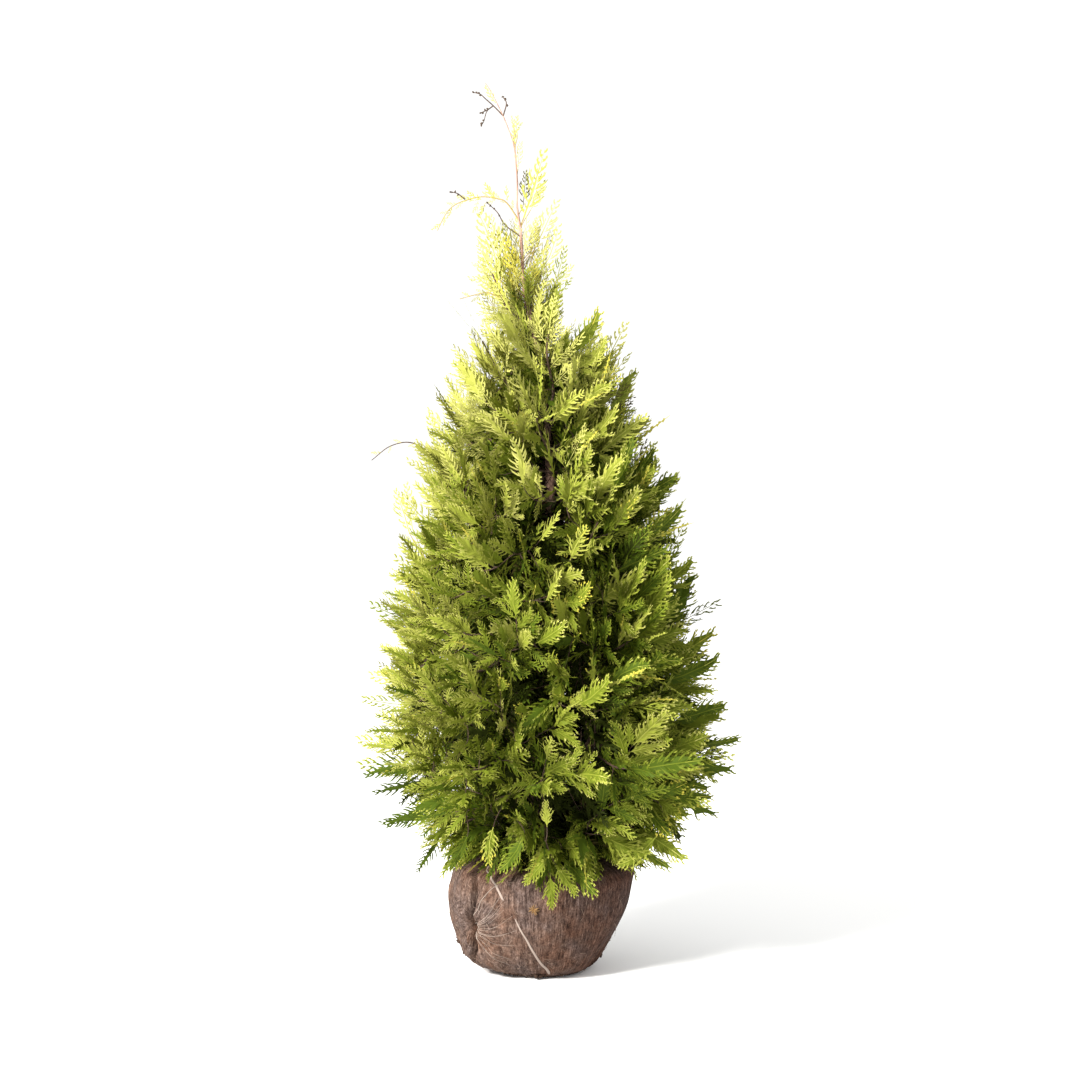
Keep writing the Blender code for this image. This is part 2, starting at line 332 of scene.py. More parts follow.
# Fans that show at the front low down: base, tip and the step of their colour
FRONT_SPRAYS = (
    (-0.091, 0.320, -0.097, 0.252, -0.220, 0),
    (0.009, 0.260, -0.032, 0.214, -0.210, 2),
    (0.026, 0.244, 0.062, 0.187, -0.200, 2),
    (0.015, 0.224, 0.017, 0.163, -0.200, 2),
    (0.215, 0.290, 0.145, 0.240, -0.160, 2),
    (-0.034, 0.306, -0.080, 0.240, -0.220, 3),
    (-0.141, 0.294, -0.173, 0.230, -0.180, 3),
    (0.009, 0.330, 0.007, 0.377, -0.270, 1),
)

# The trunk shows at the front between these heights, this far to either side of its middle
TRUNK_SHOWS = (0.88, 1.10)
TRUNK_OPENING = 0.014

# Where the front of the crown parts: low, high, azimuth, half width in degrees, share left out
PARTINGS = (
    (0.84, 1.10, -92, 11, 0.75),
    (0.27, 0.60, -72, 20, 0.65),
)


def unit(v):
    return v / np.maximum(np.linalg.norm(v, axis=-1, keepdims=True), 1e-9)


def level_way(angle):
    """The level direction at this azimuth in radians."""
    return np.array([math.cos(angle), math.sin(angle), 0.0])


def way_at(climb, turn):
    """The direction at this azimuth and this climb above the level, in radians."""
    level = np.cos(climb)
    return np.stack([level * np.cos(turn), level * np.sin(turn), np.sin(climb)], axis=-1)


def bezier(a, b, c, d, steps):
    t = np.linspace(0, 1, steps)[:, None]
    return (1 - t) ** 3 * a + 3 * (1 - t) ** 2 * t * b + 3 * (1 - t) * t**2 * c + t**3 * d


def smoothed(points, between):
    """A line with rounded bends through the points."""
    ends = np.vstack([2 * points[0] - points[1], points, 2 * points[-1] - points[-2]])
    made = []
    for i in range(1, len(ends) - 2):
        a, b, c, d = ends[i - 1:i + 3]
        for t in np.arange(between) / between:
            made.append(0.5 * (2 * b + (c - a) * t + (2 * a - 5 * b + 4 * c - d) * t**2
                               + (3 * b - a - 3 * c + d) * t**3))
    made.append(points[-1])
    return np.array(made)


def front_line(line):
    """A smooth line in the trunk's upright plane, through pairs of x and z."""
    return smoothed(np.array([(x, 0.0, z) for x, z in line]), 6)


def lengths_along(path):
    """How far along a path each of its points is."""
    return np.concatenate([[0], np.cumsum(np.linalg.norm(np.diff(path, axis=0), axis=1))])


def tube_sides(path):
    """The two ways across a path at each of its points."""
    tangents = unit(np.gradient(path, axis=0))
    reference = UP if abs(tangents[:, 2].mean()) < 0.8 else np.array([0.0, 1.0, 0.0])
    across = unit(np.cross(tangents, reference))
    return across, np.cross(tangents, across)


def tube_faces(rings, around, closed=True):
    """The triangles between rings of points, or between lines of them that aren't closed."""
    columns = around if closed else around - 1
    i, j = np.meshgrid(np.arange(rings - 1), np.arange(columns), indexing="ij")
    a = i * around + j
    b = i * around + (j + 1) % around
    return np.stack([a, b, b + around, a, b + around, a + around], axis=-1).reshape(-1, 3)


def joined(parts):
    """The points and triangles of several parts as those of one mesh."""
    points, faces, first = [], [], 0
    for own, triangles in parts:
        points.append(own)
        faces.append(np.asarray(triangles) + first)
        first += len(own)
    return np.concatenate(points), np.concatenate(faces)


def node_points(name):
    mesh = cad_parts[name].data
    points = np.empty(len(mesh.vertices) * 3)
    mesh.vertices.foreach_get("co", points)
    return points.reshape(-1, 3)


def node_triangles(name):
    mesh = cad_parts[name].data
    mesh.calc_loop_triangles()
    corners = np.empty(len(mesh.loop_triangles) * 3, dtype=np.int64)
    mesh.loop_triangles.foreach_get("vertices", corners)
    return corners.reshape(-1, 3)


def trunk_rings():
    """The trunk's centre and radius at each of its rings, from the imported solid."""
    points = node_points("trunk")
    points = points[np.argsort(points[:, 2])]
    breaks = np.where(np.diff(points[:, 2]) > 0.008)[0] + 1
    centres, radii = [], []
    for ring in np.split(points, breaks):
        centre = (ring.max(0) + ring.min(0)) / 2
        centres.append(centre)
        radii.append(np.linalg.norm(ring - centre, axis=1).mean())
    return np.array(centres), np.array(radii)


TRUNK_CENTRES, TRUNK_RADII = trunk_rings()
LEADER_X, LEADER_Z = np.array(LEADER).T


def trunk_at(height):
    """The trunk's middle at this height."""
    if height > LEADER_Z[0]:
        return np.array([np.interp(height, LEADER_Z, LEADER_X), 0.0, height])
    return np.array([np.interp(height, TRUNK_CENTRES[:, 2], TRUNK_CENTRES[:, 0]), 0.0, height])


def nodes_named(start):
    """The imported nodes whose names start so, in order."""
    return sorted(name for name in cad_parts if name.startswith(start))


def joined_tree(names):
    """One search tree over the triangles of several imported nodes."""
    points, faces = joined((node_points(name), node_triangles(name)) for name in names)
    return BVHTree.FromPolygons(points.tolist(), faces.tolist())


def make_mesh(name, points, triangles, material, smooth=False):
    """One piece from arrays of points and triangles."""
    mesh = bpy.data.meshes.new(name)
    mesh.vertices.add(len(points))
    mesh.vertices.foreach_set("co", np.asarray(points, np.float32).ravel())
    mesh.loops.add(len(triangles) * 3)
    mesh.loops.foreach_set("vertex_index", np.asarray(triangles, np.int32).ravel())
    mesh.polygons.add(len(triangles))
    mesh.polygons.foreach_set("loop_start", np.arange(0, len(triangles) * 3, 3, dtype=np.int32))
    mesh.update(calc_edges=True)
    if smooth:
        mesh.shade_smooth()
    mesh.materials.append(material)
    made = bpy.data.objects.new(name, mesh)
    bpy.context.scene.collection.objects.link(made)
    return made


def make_piece(name, slot, points, triangles, material, smooth=False):
    """A mesh that rides on the plant's one body and has the given material; the slot is not used."""
    piece = make_mesh(name, points, triangles, material, smooth)
    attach(piece, "root")
    return piece


def plain_material(name, colour, roughness, specular=0.3):
    made = bpy.data.materials.new(name)
    made.use_nodes = True
    shader = made.node_tree.nodes["Principled BSDF"]
    shader.inputs["Base Color"].default_value = (*colour, 1.0)
    shader.inputs["Roughness"].default_value = roughness
    shader.inputs["Specular IOR Level"].default_value = specular
    return made


class SprayShape:
    """A flat spray one unit long: an axis with a web along it and forked fingers either side.

    Its zones are 0 the web, 1 the fingers and 2 the young tips. broad is how wide a finger is
    for their spacing, opening is the angle at which the lowest leave the axis, web is how far
    out the web reaches along them, and forks are the smaller fingers on each.
    """

    def __init__(self, rng, fingers, forks, half_width, broad, opening=52, web=0.3):
        self.rng = rng
        self.half_width = half_width
        self.points = ([], [], [])
        self.faces = ([], [], [])
        self.sway = rng.normal(0, 0.035)
        step = 0.88 / fingers
        for side in (-1, 1):
            rim = [self.spine(0.04)]
            for k in range(fingers):
                along = 0.08 + step * (k + (0.5 if side > 0 else 0.0)) + rng.normal(0, 0.12 * step)
                reach = half_width * self.outline(along) * rng.uniform(0.80, 1.15)
                angle = math.radians(opening - 18 * along + rng.normal(0, 4))
                tip = self.finger(self.spine(along), side, angle, reach, broad * step, along, forks)
                rim.append(self.spine(along) * (1 - web) + tip * web)
            if web:
                self.fill_web(rim, fingers)
        self.axis(broad * step)
        self.points = [np.array(p).reshape(-1, 3) for p in self.points]
        self.faces = [np.array(f).reshape(-1, 3) for f in self.faces]

    def fill_web(self, rim, fingers):
        """The web between the axis and the middles of the fingers, a little behind them."""
        down = np.array([0, 0, -0.004])
        for k, (start, end) in enumerate(zip(rim, rim[1:])):
            inner = self.spine(min(0.04 + 0.88 * k / fingers, 0.92))
            outer = self.spine(min(0.04 + 0.88 * (k + 1) / fingers, 0.92))
            self.add(0, inner + down, end + down, outer + down)
            self.add(0, inner + down, start + down, end + down)

    def outline(self, along):
        """How far the fingers reach at this share of the axis, against the widest."""
        grow = min(1.0, (max(along, 0.02) / 0.26) ** 0.55)
        shrink = max(0.0, (along - 0.26) / 0.74)
        return grow * (1 - 0.82 * shrink**1.15)

    def spine(self, along):
        return np.array([along, self.sway * math.sin(math.pi * along), 0.0])

    @staticmethod
    def step(run, side, angle, tilt):
        """A step of this length, at this angle from the axis and to this side of it."""
        return np.array([run * math.cos(angle), side * run * math.sin(angle), tilt * run])

    def add(self, zone, *corners):
        first = len(self.points[zone])
        self.points[zone].extend(corners)
        self.faces[zone].append((first, first + 1, first + 2))

    def finger(self, base, side, angle, reach, half, along, forks):
        """A blunt finger that bends forwards, with smaller ones forked off. Returns its tip."""
        rng = self.rng
        tilt = rng.normal(0, 0.15)
        bend = math.radians(10)
        places = [base]
        for share, turned in ((0.38, angle), (0.76, angle - bend * 0.5), (1.0, angle - bend)):
            places.append(base + self.step(reach * share, side, turned, tilt))
        root, low, high, tip = places
        across = unit(np.array([root[1] - tip[1], tip[0] - root[0], 0.0])) * half
        outer = 2 if 0.56 + 0.46 * along > 0.74 else 1
        if not forks:
            self.add(1, root, low - across, low + across)
            self.add(outer, low - across, tip, low + across)
            return tip
        self.add(1, root + (low - root) * 0.2, low - across, low + across)
        self.add(1, low - across, high - across * 0.8, high + across * 0.8)
        self.add(1, low - across, high + across * 0.8, low + across)
        self.add(outer, high - across * 0.8, tip, high + across * 0.8)
        for k in range(forks):
            share = 0.24 + 0.46 * k / max(forks - 1, 1) + rng.uniform(-0.04, 0.04)
            way = -1 if k % 2 else 1
            start = root + (tip - root) * share
            turned = angle - way * math.radians(rng.uniform(22, 32))
            run = reach * rng.uniform(0.22, 0.32) * (1.15 - 0.5 * share)
            end = start + self.step(run, side, turned, tilt + rng.normal(0, 0.15))
            middle = (start + end) / 2
            wide = unit(np.array([start[1] - end[1], end[0] - start[0], 0.0])) * half * 0.85
            zone = 2 if 0.5 * share + 0.46 * along > 0.52 else 1
            self.add(zone, start, middle - wide, middle + wide)
            self.add(zone, middle - wide, end, middle + wide)
        return tip

    def axis(self, half):
        """The axis itself: a strip that ends in a pointed tip."""
        places = [self.spine(share) for share in (0.0, 0.35, 0.7, 1.0)]
        for i, (start, end) in enumerate(zip(places, places[1:])):
            wide = half * (0.75 - 0.12 * i)
            narrow = half * (0.75 - 0.12 * (i + 1)) if i < 2 else half * 0.1
            left, right = np.array([0, wide, 0]), np.array([0, narrow, 0])
            self.add(1 + int(i == 2), start - left, start + left, end + right)
            self.add(1 + int(i == 2), start - left, end + right, end - right)


class Foliage:
    """Collects the sprays, then joins them by colour."""

    KINDS = {
        "fan": (8, dict(fingers=8, forks=3, half_width=0.40, broad=0.130, opening=56, web=0.50)),
        "fine": (6, dict(fingers=9, forks=1, half_width=0.33, broad=0.150, web=0.28)),
        "lace": (6, dict(fingers=7, forks=3, half_width=0.34, broad=0.110, opening=50, web=0.0)),
        "tuft": (4, dict(fingers=4, forks=1, half_width=0.36, broad=0.130, opening=44, web=0.0)),
        "spike": (4, dict(fingers=8, forks=0, half_width=0.12, broad=0.190, opening=34, web=0.0)),
        "coarse": (4, dict(fingers=7, forks=0, half_width=0.34, broad=0.190, web=0.22)),
    }

    def __init__(self):
        rng = np.random.default_rng(SEED + 1)
        self.shapes, self.kinds = [], {}
        for kind, (count, sizes) in self.KINDS.items():
            self.kinds[kind] = (len(self.shapes), count)
            self.shapes += [SprayShape(rng, **sizes) for _ in range(count)]
        self.rows = []

    def add(self, kind, origin, along, normal, length, colours, droop, rng):
        """One spray: where it starts, its way, its plane, its length and its three colours."""
        along = unit(along)
        normal = unit(normal - along * float(np.dot(normal, along)))
        first, count = self.kinds[kind]
        shape = first + int(rng.integers(count))
        self.rows.append((shape, origin, along, normal, length, droop, *colours))

    def pieces(self):
        """The points and triangles of each colour."""
        for colour in LEAF_COLOURS:
            parts = []
            for index, shape in enumerate(self.shapes):
                for zone in (0, 1, 2):
                    rows = [r for r in self.rows if r[0] == index and r[6 + zone] == colour]
                    if rows and len(shape.faces[zone]):
                        placed = self.place(shape.points[zone], rows)
                        starts = placed.shape[1] * np.arange(len(rows))
                        faces = shape.faces[zone][None] + starts[:, None, None]
                        parts.append((placed.reshape(-1, 3), faces.reshape(-1, 3)))
            if parts:
                yield colour, *joined(parts)

    def place(self, flat, rows):
        """The points of a flat shape, set in place for each row."""
        origin, along, normal = (np.array([r[k] for r in rows])[:, None] for k in (1, 2, 3))
        length, droop = (np.array([r[k] for r in rows])[:, None, None] for k in (4, 5))
        ahead, aside, above = np.split(flat[None] * length, 3, axis=2)
        placed = origin + (ahead * along + aside * np.cross(normal, along) + above * normal)
        placed[:, :, 2:] -= droop * length * flat[None, :, 0:1] ** 2
        return placed


class Wood:
    """Collects tapering tubes for twigs, then joins them."""

    def __init__(self):
        self.parts = []

    def add(self, path, start_radius, end_radius, sides=4):
        across, other = tube_sides(path)
        radii = np.linspace(start_radius, end_radius, len(path))[:, None, None]
        angles = (np.arange(sides) * math.tau / sides)[None, :, None]
        ring = np.cos(angles) * across[:, None] + np.sin(angles) * other[:, None]
        points = (path[:, None] + radii * ring).reshape(-1, 3)
        self.parts.append((points, tube_faces(len(path), sides)))

    def piece(self, name, slot, material):
        make_piece(name, slot, *joined(self.parts), material, smooth=True)


class Crown:
    """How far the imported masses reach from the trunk, by height and direction."""

    def __init__(self):
        tree = joined_tree(nodes_named("foliage_"))
        self.heights = np.arange(CROWN_FOOT, 1.50, REACH_STEP)
        reach = np.zeros((len(self.heights), REACH_TURNS))
        far = 0.60
        for i, height in enumerate(self.heights):
            middle = Vector(trunk_at(height))
            for j in range(REACH_TURNS):
                out = Vector(level_way(math.tau * j / REACH_TURNS))
                hit = tree.ray_cast(middle + out * far, -out, far)
                if hit[0] is not None:
                    reach[i, j] = far - hit[3]
        self.reach = self.close(reach)

    @staticmethod
    def window(values, up, round_about, choose):
        """Each value replaced by the chosen one of those round it; the turns wrap round."""
        rows = np.pad(values, ((up, up), (0, 0)), mode="edge")
        stack = [
            np.roll(rows[k:k + len(values)], turn, axis=1)
            for k in range(2 * up + 1)
            for turn in range(-round_about, round_about + 1)
        ]
        return choose(np.stack(stack), axis=0)

    def close(self, reach):
        """Closes the narrow gaps between masses, then softens the steps."""
        reach = self.window(reach, 2, 3, np.max)
        reach = self.window(reach, 2, 3, np.min)
        lumps = self.window(reach, 1, 1, np.mean) / np.maximum(reach.max(1, keepdims=True), 0.01)
        heights, left, right = np.array(PROFILE).T
        to_right = 0.5 + 0.5 * np.cos(np.arange(REACH_TURNS) * math.tau / REACH_TURNS)[None]
        left = np.interp(self.heights, heights, left)[:, None]
        right = np.interp(self.heights, heights, right)[:, None]
        outline = left + to_right * (right - left)
        return np.where(lumps > 0, outline * (1 - LUMPINESS * (1 - np.clip(lumps, 0.55, 1))), 0.0)

    def at(self, angle, height):
        """The reach at this azimuth in radians and this height."""
        column = (angle / math.tau) % 1.0 * REACH_TURNS
        low = int(column) % REACH_TURNS
        high = (low + 1) % REACH_TURNS
        share = column - int(column)
        left = np.interp(height, self.heights, self.reach[:, low])
        right = np.interp(height, self.heights, self.reach[:, high])
        return left + share * (right - left)

    def depth(self, point):
        """How far inside the crown's surface this point is."""
        x, y, _ = point - trunk_at(point[2])
        return self.at(math.atan2(y, x), point[2]) - math.hypot(x, y)

    def targets(self, rng):
        """Points over the crown's surface, closer together on the left, with their outward way."""
        weight = np.where(self.heights[:, None] < CROWN_TOP, self.reach, 0.0).ravel()
        picked = rng.choice(weight.size, TARGETS_TRIED, p=weight / weight.sum())
        kept, found = np.empty((0, 3)), []
        for cell in picked:
            row, column = divmod(int(cell), REACH_TURNS)
            height = self.heights[row] + rng.uniform(-0.5, 0.5) * REACH_STEP
            angle = math.tau * (column + rng.uniform(-0.5, 0.5)) / REACH_TURNS
            reach = self.at(angle, height)
            if reach < 0.03:
                continue
            out = level_way(angle)
            point = trunk_at(height) + out * reach
            side = 0.5 + 0.5 * np.clip(point[0] / 0.25, -1, 1)
            spacing = TARGET_SPACING[0] + side * (TARGET_SPACING[1] - TARGET_SPACING[0])
            spacing *= 1 - 0.20 * np.clip((height - 0.85) / 0.25, 0, 1)
            if len(kept) and (np.linalg.norm(kept - point, axis=1) < spacing).any():
                continue
            kept = np.vstack([kept, point])
            if not in_parting(math.degrees(angle), height, rng):
                found.append((point, out))
        return found


def in_parting(degrees, height, rng):
    """Whether a shoot here is one of those left out where the crown parts."""
    for low, high, azimuth, half, share in PARTINGS:
        apart = (degrees - azimuth + 180) % 360 - 180
        if low < height < high and abs(apart) < half and rng.random() < share:
            return True
    return False


FOLIAGE = Foliage()
TWIGS = Wood()
YOUNG_TWIGS = Wood()
BUDDED = []
CROWN = Crown()


class Joints:
    """The places on the wood where a further twig can start."""

    def __init__(self):
        self.points, self.ways = np.empty((0, 3)), np.empty((0, 3))

    def add(self, path):
        path = np.asarray(path, float)
        self.points = np.vstack([self.points, path])
        self.ways = np.vstack([self.ways, unit(np.gradient(path, axis=0))])

    def best(self, goal, way):
        """The joint from which a twig reaches the goal by a short and natural route."""
        away = goal - self.points
        distance = np.linalg.norm(away, axis=1)
        agrees = (away @ way) / np.maximum(distance, 1e-6)
        from_trunk = np.hypot(self.points[:, 0] - trunk_at(goal[2])[0], self.points[:, 1])
        goal_from_trunk = math.hypot(goal[0] - trunk_at(goal[2])[0], goal[1])
        cost = distance * (1.7 - agrees)
        cost[(from_trunk > goal_from_trunk - 0.008) | (distance < 0.018)] += 10
        pick = int(np.argmin(cost))
        return self.points[pick], self.ways[pick]

    def way_to(self, goal, way, leave, steps):
        """A twig's line to the goal from its best joint; leave is how long it keeps that way."""
        root, root_way = self.best(goal, way)
        gap = np.linalg.norm(goal - root)
        return bezier(root, root + root_way * gap * leave, goal - way * gap * 0.4, goal, steps)


def outward_from_trunk(point):
    """The level way from the trunk's middle to this point."""
    flat = point - trunk_at(point[2])
    flat[2] = 0.0
    return flat / max(np.linalg.norm(flat), 1e-6)


def shades(step):
    """The web, finger and tip colours at this step of the ladder, from pale at 0 to deep."""
    last = len(LADDER) - 1
    step = int(np.clip(step, 0, last))
    return LADDER[min(step + 1, last)], LADDER[step], LADDER[max(step - 1, 0)]


def shoot_tone(point, rng):
    """What a whole shoot's sprays share: its step on the ladder, and whether golden or given the
    painted-shade olive. The step holds painted light and shade: paler to the left and at the top, darker
    to the right and low down at the left and in the middle, on top of a random tone.
    """
    side = np.clip(point[0] / 0.26, -1, 1)
    top = np.clip((point[2] - 0.80) / 0.45, 0, 1)
    low = np.clip((0.46 - point[2]) / 0.14, 0, 1)
    centre = max(0.0, 1.0 - abs(side) / 0.5)
    # Painted light and shade: paler on the lit left and top, darker on the right and low down
    painted_light_step = 0.95 * side if side > 0 else 0.78 * side - 1.75 * low * side
    painted_light_step += centre * (1.20 * low - 0.30)
    value = 1.85 + painted_light_step - (1.60 - 0.45 * side) * top + rng.normal(0, 0.58)
    # Painted shade: some shoots at the right back are given the dark olive
    olive = side > 0.4 and point[1] > 0.01 and rng.random() < 0.28
    return value, olive, rng.random() < 0.08


def pick_colours(tone, depth, rng):
    """The colours of a spray of a shoot with this tone; depth is its distance inside the crown, and
    deeper sprays take darker colours as painted shade.
    """
    value, olive, golden = tone
    # Painted shade: darker colours the deeper the spray sits inside the crown
    value += 13.0 * max(0.0, depth - 0.045) + rng.normal(0, 0.30)
    if olive:
        return "olive", "olive", "olive" if rng.random() < 0.5 else "green"
    web, finger, tip = shades(round(value))
    if golden and depth < 0.05:
        tip = "gold"
    elif rng.random() < 0.35:
        tip = shades(round(value) - 1)[2]
    return web, finger, tip


def pick_kind(point, rng):
    """Finer and more open sprays to the left and at the top."""
    side = np.clip(point[0] / 0.20, -1, 1)
    top = np.clip((point[2] - 1.05) / 0.30, 0, 1)
    if rng.random() < 0.12 + 0.60 * top:
        return "lace"
    return "fan" if rng.random() < 0.50 + 0.40 * side else "fine"


def veils_trunk(point, heading, length):
    """Whether a spray would cover the stretch of trunk that shows at the front."""
    for share in (0.1, 0.5, 0.9):
        spot = point + unit(heading) * length * share
        if TRUNK_SHOWS[0] < spot[2] < TRUNK_SHOWS[1] and spot[1] < -0.010:
            if abs(spot[0] - trunk_at(spot[2])[0]) < TRUNK_OPENING:
                return True
    return False


def place_spray(point, heading, normal, length, rng, kind=None, colours=None, droop=None, tone=None):
    """One spray, shortened where it would leave the plant's box."""
    heading = unit(heading)
    tip = point + heading * length
    low = np.array(CAD_BOX[0]) - BOX_MARGIN
    high = np.array(CAD_BOX[1]) + BOX_MARGIN
    if (tip < low).any() or (tip > high).any():
        over = np.maximum(low - tip, tip - high).max()
        length = max(0.035, length - over * 1.2)
    if rng.random() < 0.80 and veils_trunk(point, heading, length):
        return
    middle = point + heading * length * 0.6
    if colours is None:
        colours = pick_colours(tone or shoot_tone(middle, rng), CROWN.depth(middle), rng)
    if kind is None:
        kind = "lace" if colours[0] == "olive" else pick_kind(middle, rng)
    if droop is None:
        droop = rng.uniform(-0.05, 0.20) + 0.14 * np.clip((0.45 - point[2]) / 0.2, -0.5, 1)
    FOLIAGE.add(kind, point, heading, normal, length, colours, droop, rng)


def heading_at(height, out, rng):
    """The way a shoot points at the crown's surface: outwards, and steeper higher up."""
    rise = math.radians(np.interp(height, RISE_HEIGHTS, RISE_ANGLES) + rng.normal(0, 11))
    turn = rng.normal(0, math.radians(17))
    swung = np.array([
        out[0] * math.cos(turn) - out[1] * math.sin(turn),
        out[0] * math.sin(turn) + out[1] * math.cos(turn),
        0.0,
    ])
    return swung * math.cos(rise) + UP * math.sin(rise)


def spray_sizes(point):
    """Lengths of the end spray and of the side sprays: larger to the right, smaller at the top."""
    side = np.clip(point[0] / 0.25, -1, 1)
    top = np.clip((point[2] - 1.0) / 0.35, 0, 1)
    size = (1.0 + 0.20 * side) * (1.0 - 0.10 * top)
    return 0.098 * size, 0.080 * size


def leafy_shoot(path, height_share, rng, leafy=LEAFY_LENGTH, terminal=True, size=1.0, tone=None):
    """Sprays along the last stretch of a twig, in one plane near the upright one through it."""
    reached = lengths_along(path)
    total = reached[-1]
    end_way = unit(path[-1] - path[-2])
    sideways = np.cross(end_way, UP)
    if np.linalg.norm(sideways) < 0.25:
        sideways = np.cross(outward_from_trunk(path[-1]), UP)
    sideways = unit(sideways)
    roll = rng.normal(0, math.radians(26 + 22 * height_share))
    plane = unit(sideways * math.cos(roll) + np.cross(end_way, sideways) * math.sin(roll))
    end_length, side_length = (size * length for length in spray_sizes(path[-1]))
    tone = tone or shoot_tone(path[-1], rng)
    if terminal:
        place_spray(path[-1], end_way, plane, end_length * rng.uniform(0.82, 1.15), rng, tone=tone)
        if rng.random() < 0.16:
            way = end_way + rng.normal(0, 0.22, 3)
            colours = ("lime", "bright", "gold") if rng.random() < 0.6 else ("lime", "lime", "bright")
            length = end_length * rng.uniform(0.95, 1.30)
            place_spray(path[-1], way, plane, length, rng, "spike", colours)
    back, side = 0.004, 1 if rng.random() < 0.5 else -1
    while back < min(leafy, total * 0.94):
        along = total - back
        point = np.array([np.interp(along, reached, path[:, i]) for i in range(3)])
        behind = np.array([np.interp(along - 0.012, reached, path[:, i]) for i in range(3)])
        way = unit(point - behind)
        in_plane = np.cross(plane, way)
        opening = math.radians(rng.uniform(32, 54))
        heading = way * math.cos(opening) + side * in_plane * math.sin(opening)
        heading = heading + rng.normal(0, 0.10, 3)
        length = side_length * rng.uniform(0.80, 1.15) * (0.72 + 0.30 * min(1.0, back / 0.05))
        place_spray(point, heading, plane + rng.normal(0, 0.20, 3), length, rng, tone=tone)
        back += SPRAY_SPACING * rng.uniform(0.8, 1.25)
        side = -side


def bough_path(name):
    """The middle line of a packed bough: its start, middle and end."""
    points = node_points(name)
    near = np.array([np.linalg.norm(p - trunk_at(p[2])) for p in points])
    start = points[near < near.min() + 0.010].mean(0)
    end = points[near > near.max() - 0.010].mean(0)
    halfway = (near.min() + near.max()) / 2
    middle = points[abs(near - halfway) < 0.016].mean(0)
    return start, middle, end


def main_limb(name):
    """The limb that carries a mass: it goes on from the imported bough, or else from the trunk."""
    points = node_points(name)
    bough = name.replace("foliage", "bough")
    near = np.array([np.linalg.norm((p - trunk_at(p[2]))[:2]) for p in points])
    inner = points[near < near.min() + 0.012].mean(0)
    tip = points[np.argmax(np.linalg.norm(points - inner, axis=1))]
    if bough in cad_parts:
        _, middle, inner = bough_path(bough)
        first_way = unit(inner - middle)
    else:
        inner = trunk_at(inner[2] - 0.02)
        first_way = unit(outward_from_trunk(tip) + 0.6 * UP)
    reach = np.linalg.norm(tip - inner)
    rise = math.radians(np.interp(tip[2], RISE_HEIGHTS, RISE_ANGLES))
    tip_way = outward_from_trunk(tip) * math.cos(rise) + UP * math.sin(rise)
    goal = tip - tip_way * 0.085
    return bezier(inner, inner + first_way * reach * 0.35, goal - tip_way * reach * 0.30, goal, 10)


def grow_crown():
    """The whole crown: limbs, then twigs from the nearest wood to points over its surface."""
    rng = np.random.default_rng(SEED + 2)
    joints = Joints()
    joints.add([trunk_at(h) for h in np.arange(0.27, 1.28, 0.02)])
    for name in nodes_named("foliage_"):
        if "plume" in name:
            continue
        limb = main_limb(name)
        TWIGS.add(limb, *LIMB_RADII, sides=5)
        joints.add(limb)
        leafy_shoot(limb, 0.5, rng)
    places = CROWN.targets(rng)
    places.sort(key=lambda place: CROWN.at(math.atan2(place[1][1], place[1][0]), place[0][2]))
    for point, out in places:
        way = heading_at(point[2], out, rng)
        end_length, _ = spray_sizes(point)
        goal = point - way * end_length * rng.uniform(0.70, 1.25)
        root, root_way = joints.best(goal, way)
        gap = np.linalg.norm(goal - root)
        first = unit(unit(goal - root) + root_way * 0.45)
        path = bezier(root, root + first * gap * 0.35, goal - way * gap * 0.35, goal, 7)
        TWIGS.add(path, *TWIG_RADII, sides=3)
        joints.add(path[2:6])
        low = np.clip((0.45 - point[2]) / 0.2, 0, 1)
        leafy_shoot(path, low, rng)
    outline_shoots(joints, rng)
    hanging_sprays(joints, rng)
    front_sprays(joints, rng)
    plume_sprays(rng)
    top_sprays(rng)
    bud_twigs(rng)
    arches(rng)
    inner_sprays(joints, rng)


def stalk(base, way):
    """A thin green stalk from the leader to the base of a spray."""
    gap = abs(base[0] - trunk_at(base[2])[0]) + abs(base[1])
    start = trunk_at(base[2] - 0.004 - 1.2 * gap)
    away = np.linalg.norm(base - start)
    leave = (UP * 0.6 + unit(way) * 0.4) * away * 0.4
    path = bezier(start, start + leave, base - unit(way) * away * 0.4, base, 6)
    YOUNG_TWIGS.add(path, *STALK_RADII)


def plume_sprays(rng):
    """The open sprays round the leader that the photo shows one by one."""
    for x, z, tip_x, tip_z, step in PLUME_SPRAYS:
        on_arch = x < -0.06 and z > 1.47
        base = np.array([x, 0.0 if on_arch else rng.uniform(-0.012, 0.012), z])
        way = np.array([tip_x - x, rng.uniform(-0.012, 0.012), tip_z - z])
        length = np.linalg.norm(way)
        plane = np.array([rng.normal(0, 0.3), 1.0, rng.normal(0, 0.3)])
        kind = "lace" if length > 0.055 else "tuft"
        if not on_arch:
            stalk(base, way)
        place_spray(base, way, plane, length, rng, kind=kind, colours=PLUME_COLOURS[step], droop=0.0)


def top_sprays(rng):
    """Steep sprays all round the top of the trunk and the foot of the leader."""
    for _ in range(TOP_SPRAYS):
        height = rng.uniform(1.14, 1.40)
        out = level_way(rng.uniform(0, math.tau))
        base = trunk_at(height) + out * rng.uniform(0.004, 0.022)
        way = out * rng.uniform(0.25, 0.55) + UP
        length = rng.uniform(0.07, 0.10) * (1.0 if height < 1.36 else 0.8)
        plane = np.cross(out, UP) + rng.normal(0, 0.5, 3)
        stalk(base, way)
        if height > 1.29:
            colours, kind = PLUME_COLOURS[int(rng.integers(0, 3))], "lace"
        else:
            colours, kind = shades(int(rng.integers(0, 4))), "fine"
        place_spray(base, way, plane, length, rng, kind=kind, colours=colours, droop=-0.05)


def bud_twigs(rng):
    """The brown twigs that carry buds."""
    for line in BUD_TWIGS:
        path = front_line(line)
        path[:, 1] += rng.uniform(-0.02, 0.02) * np.linspace(0, 1, len(path))
        TWIGS.add(path, *BUD_TWIG_RADII)
        BUDDED.append(path)


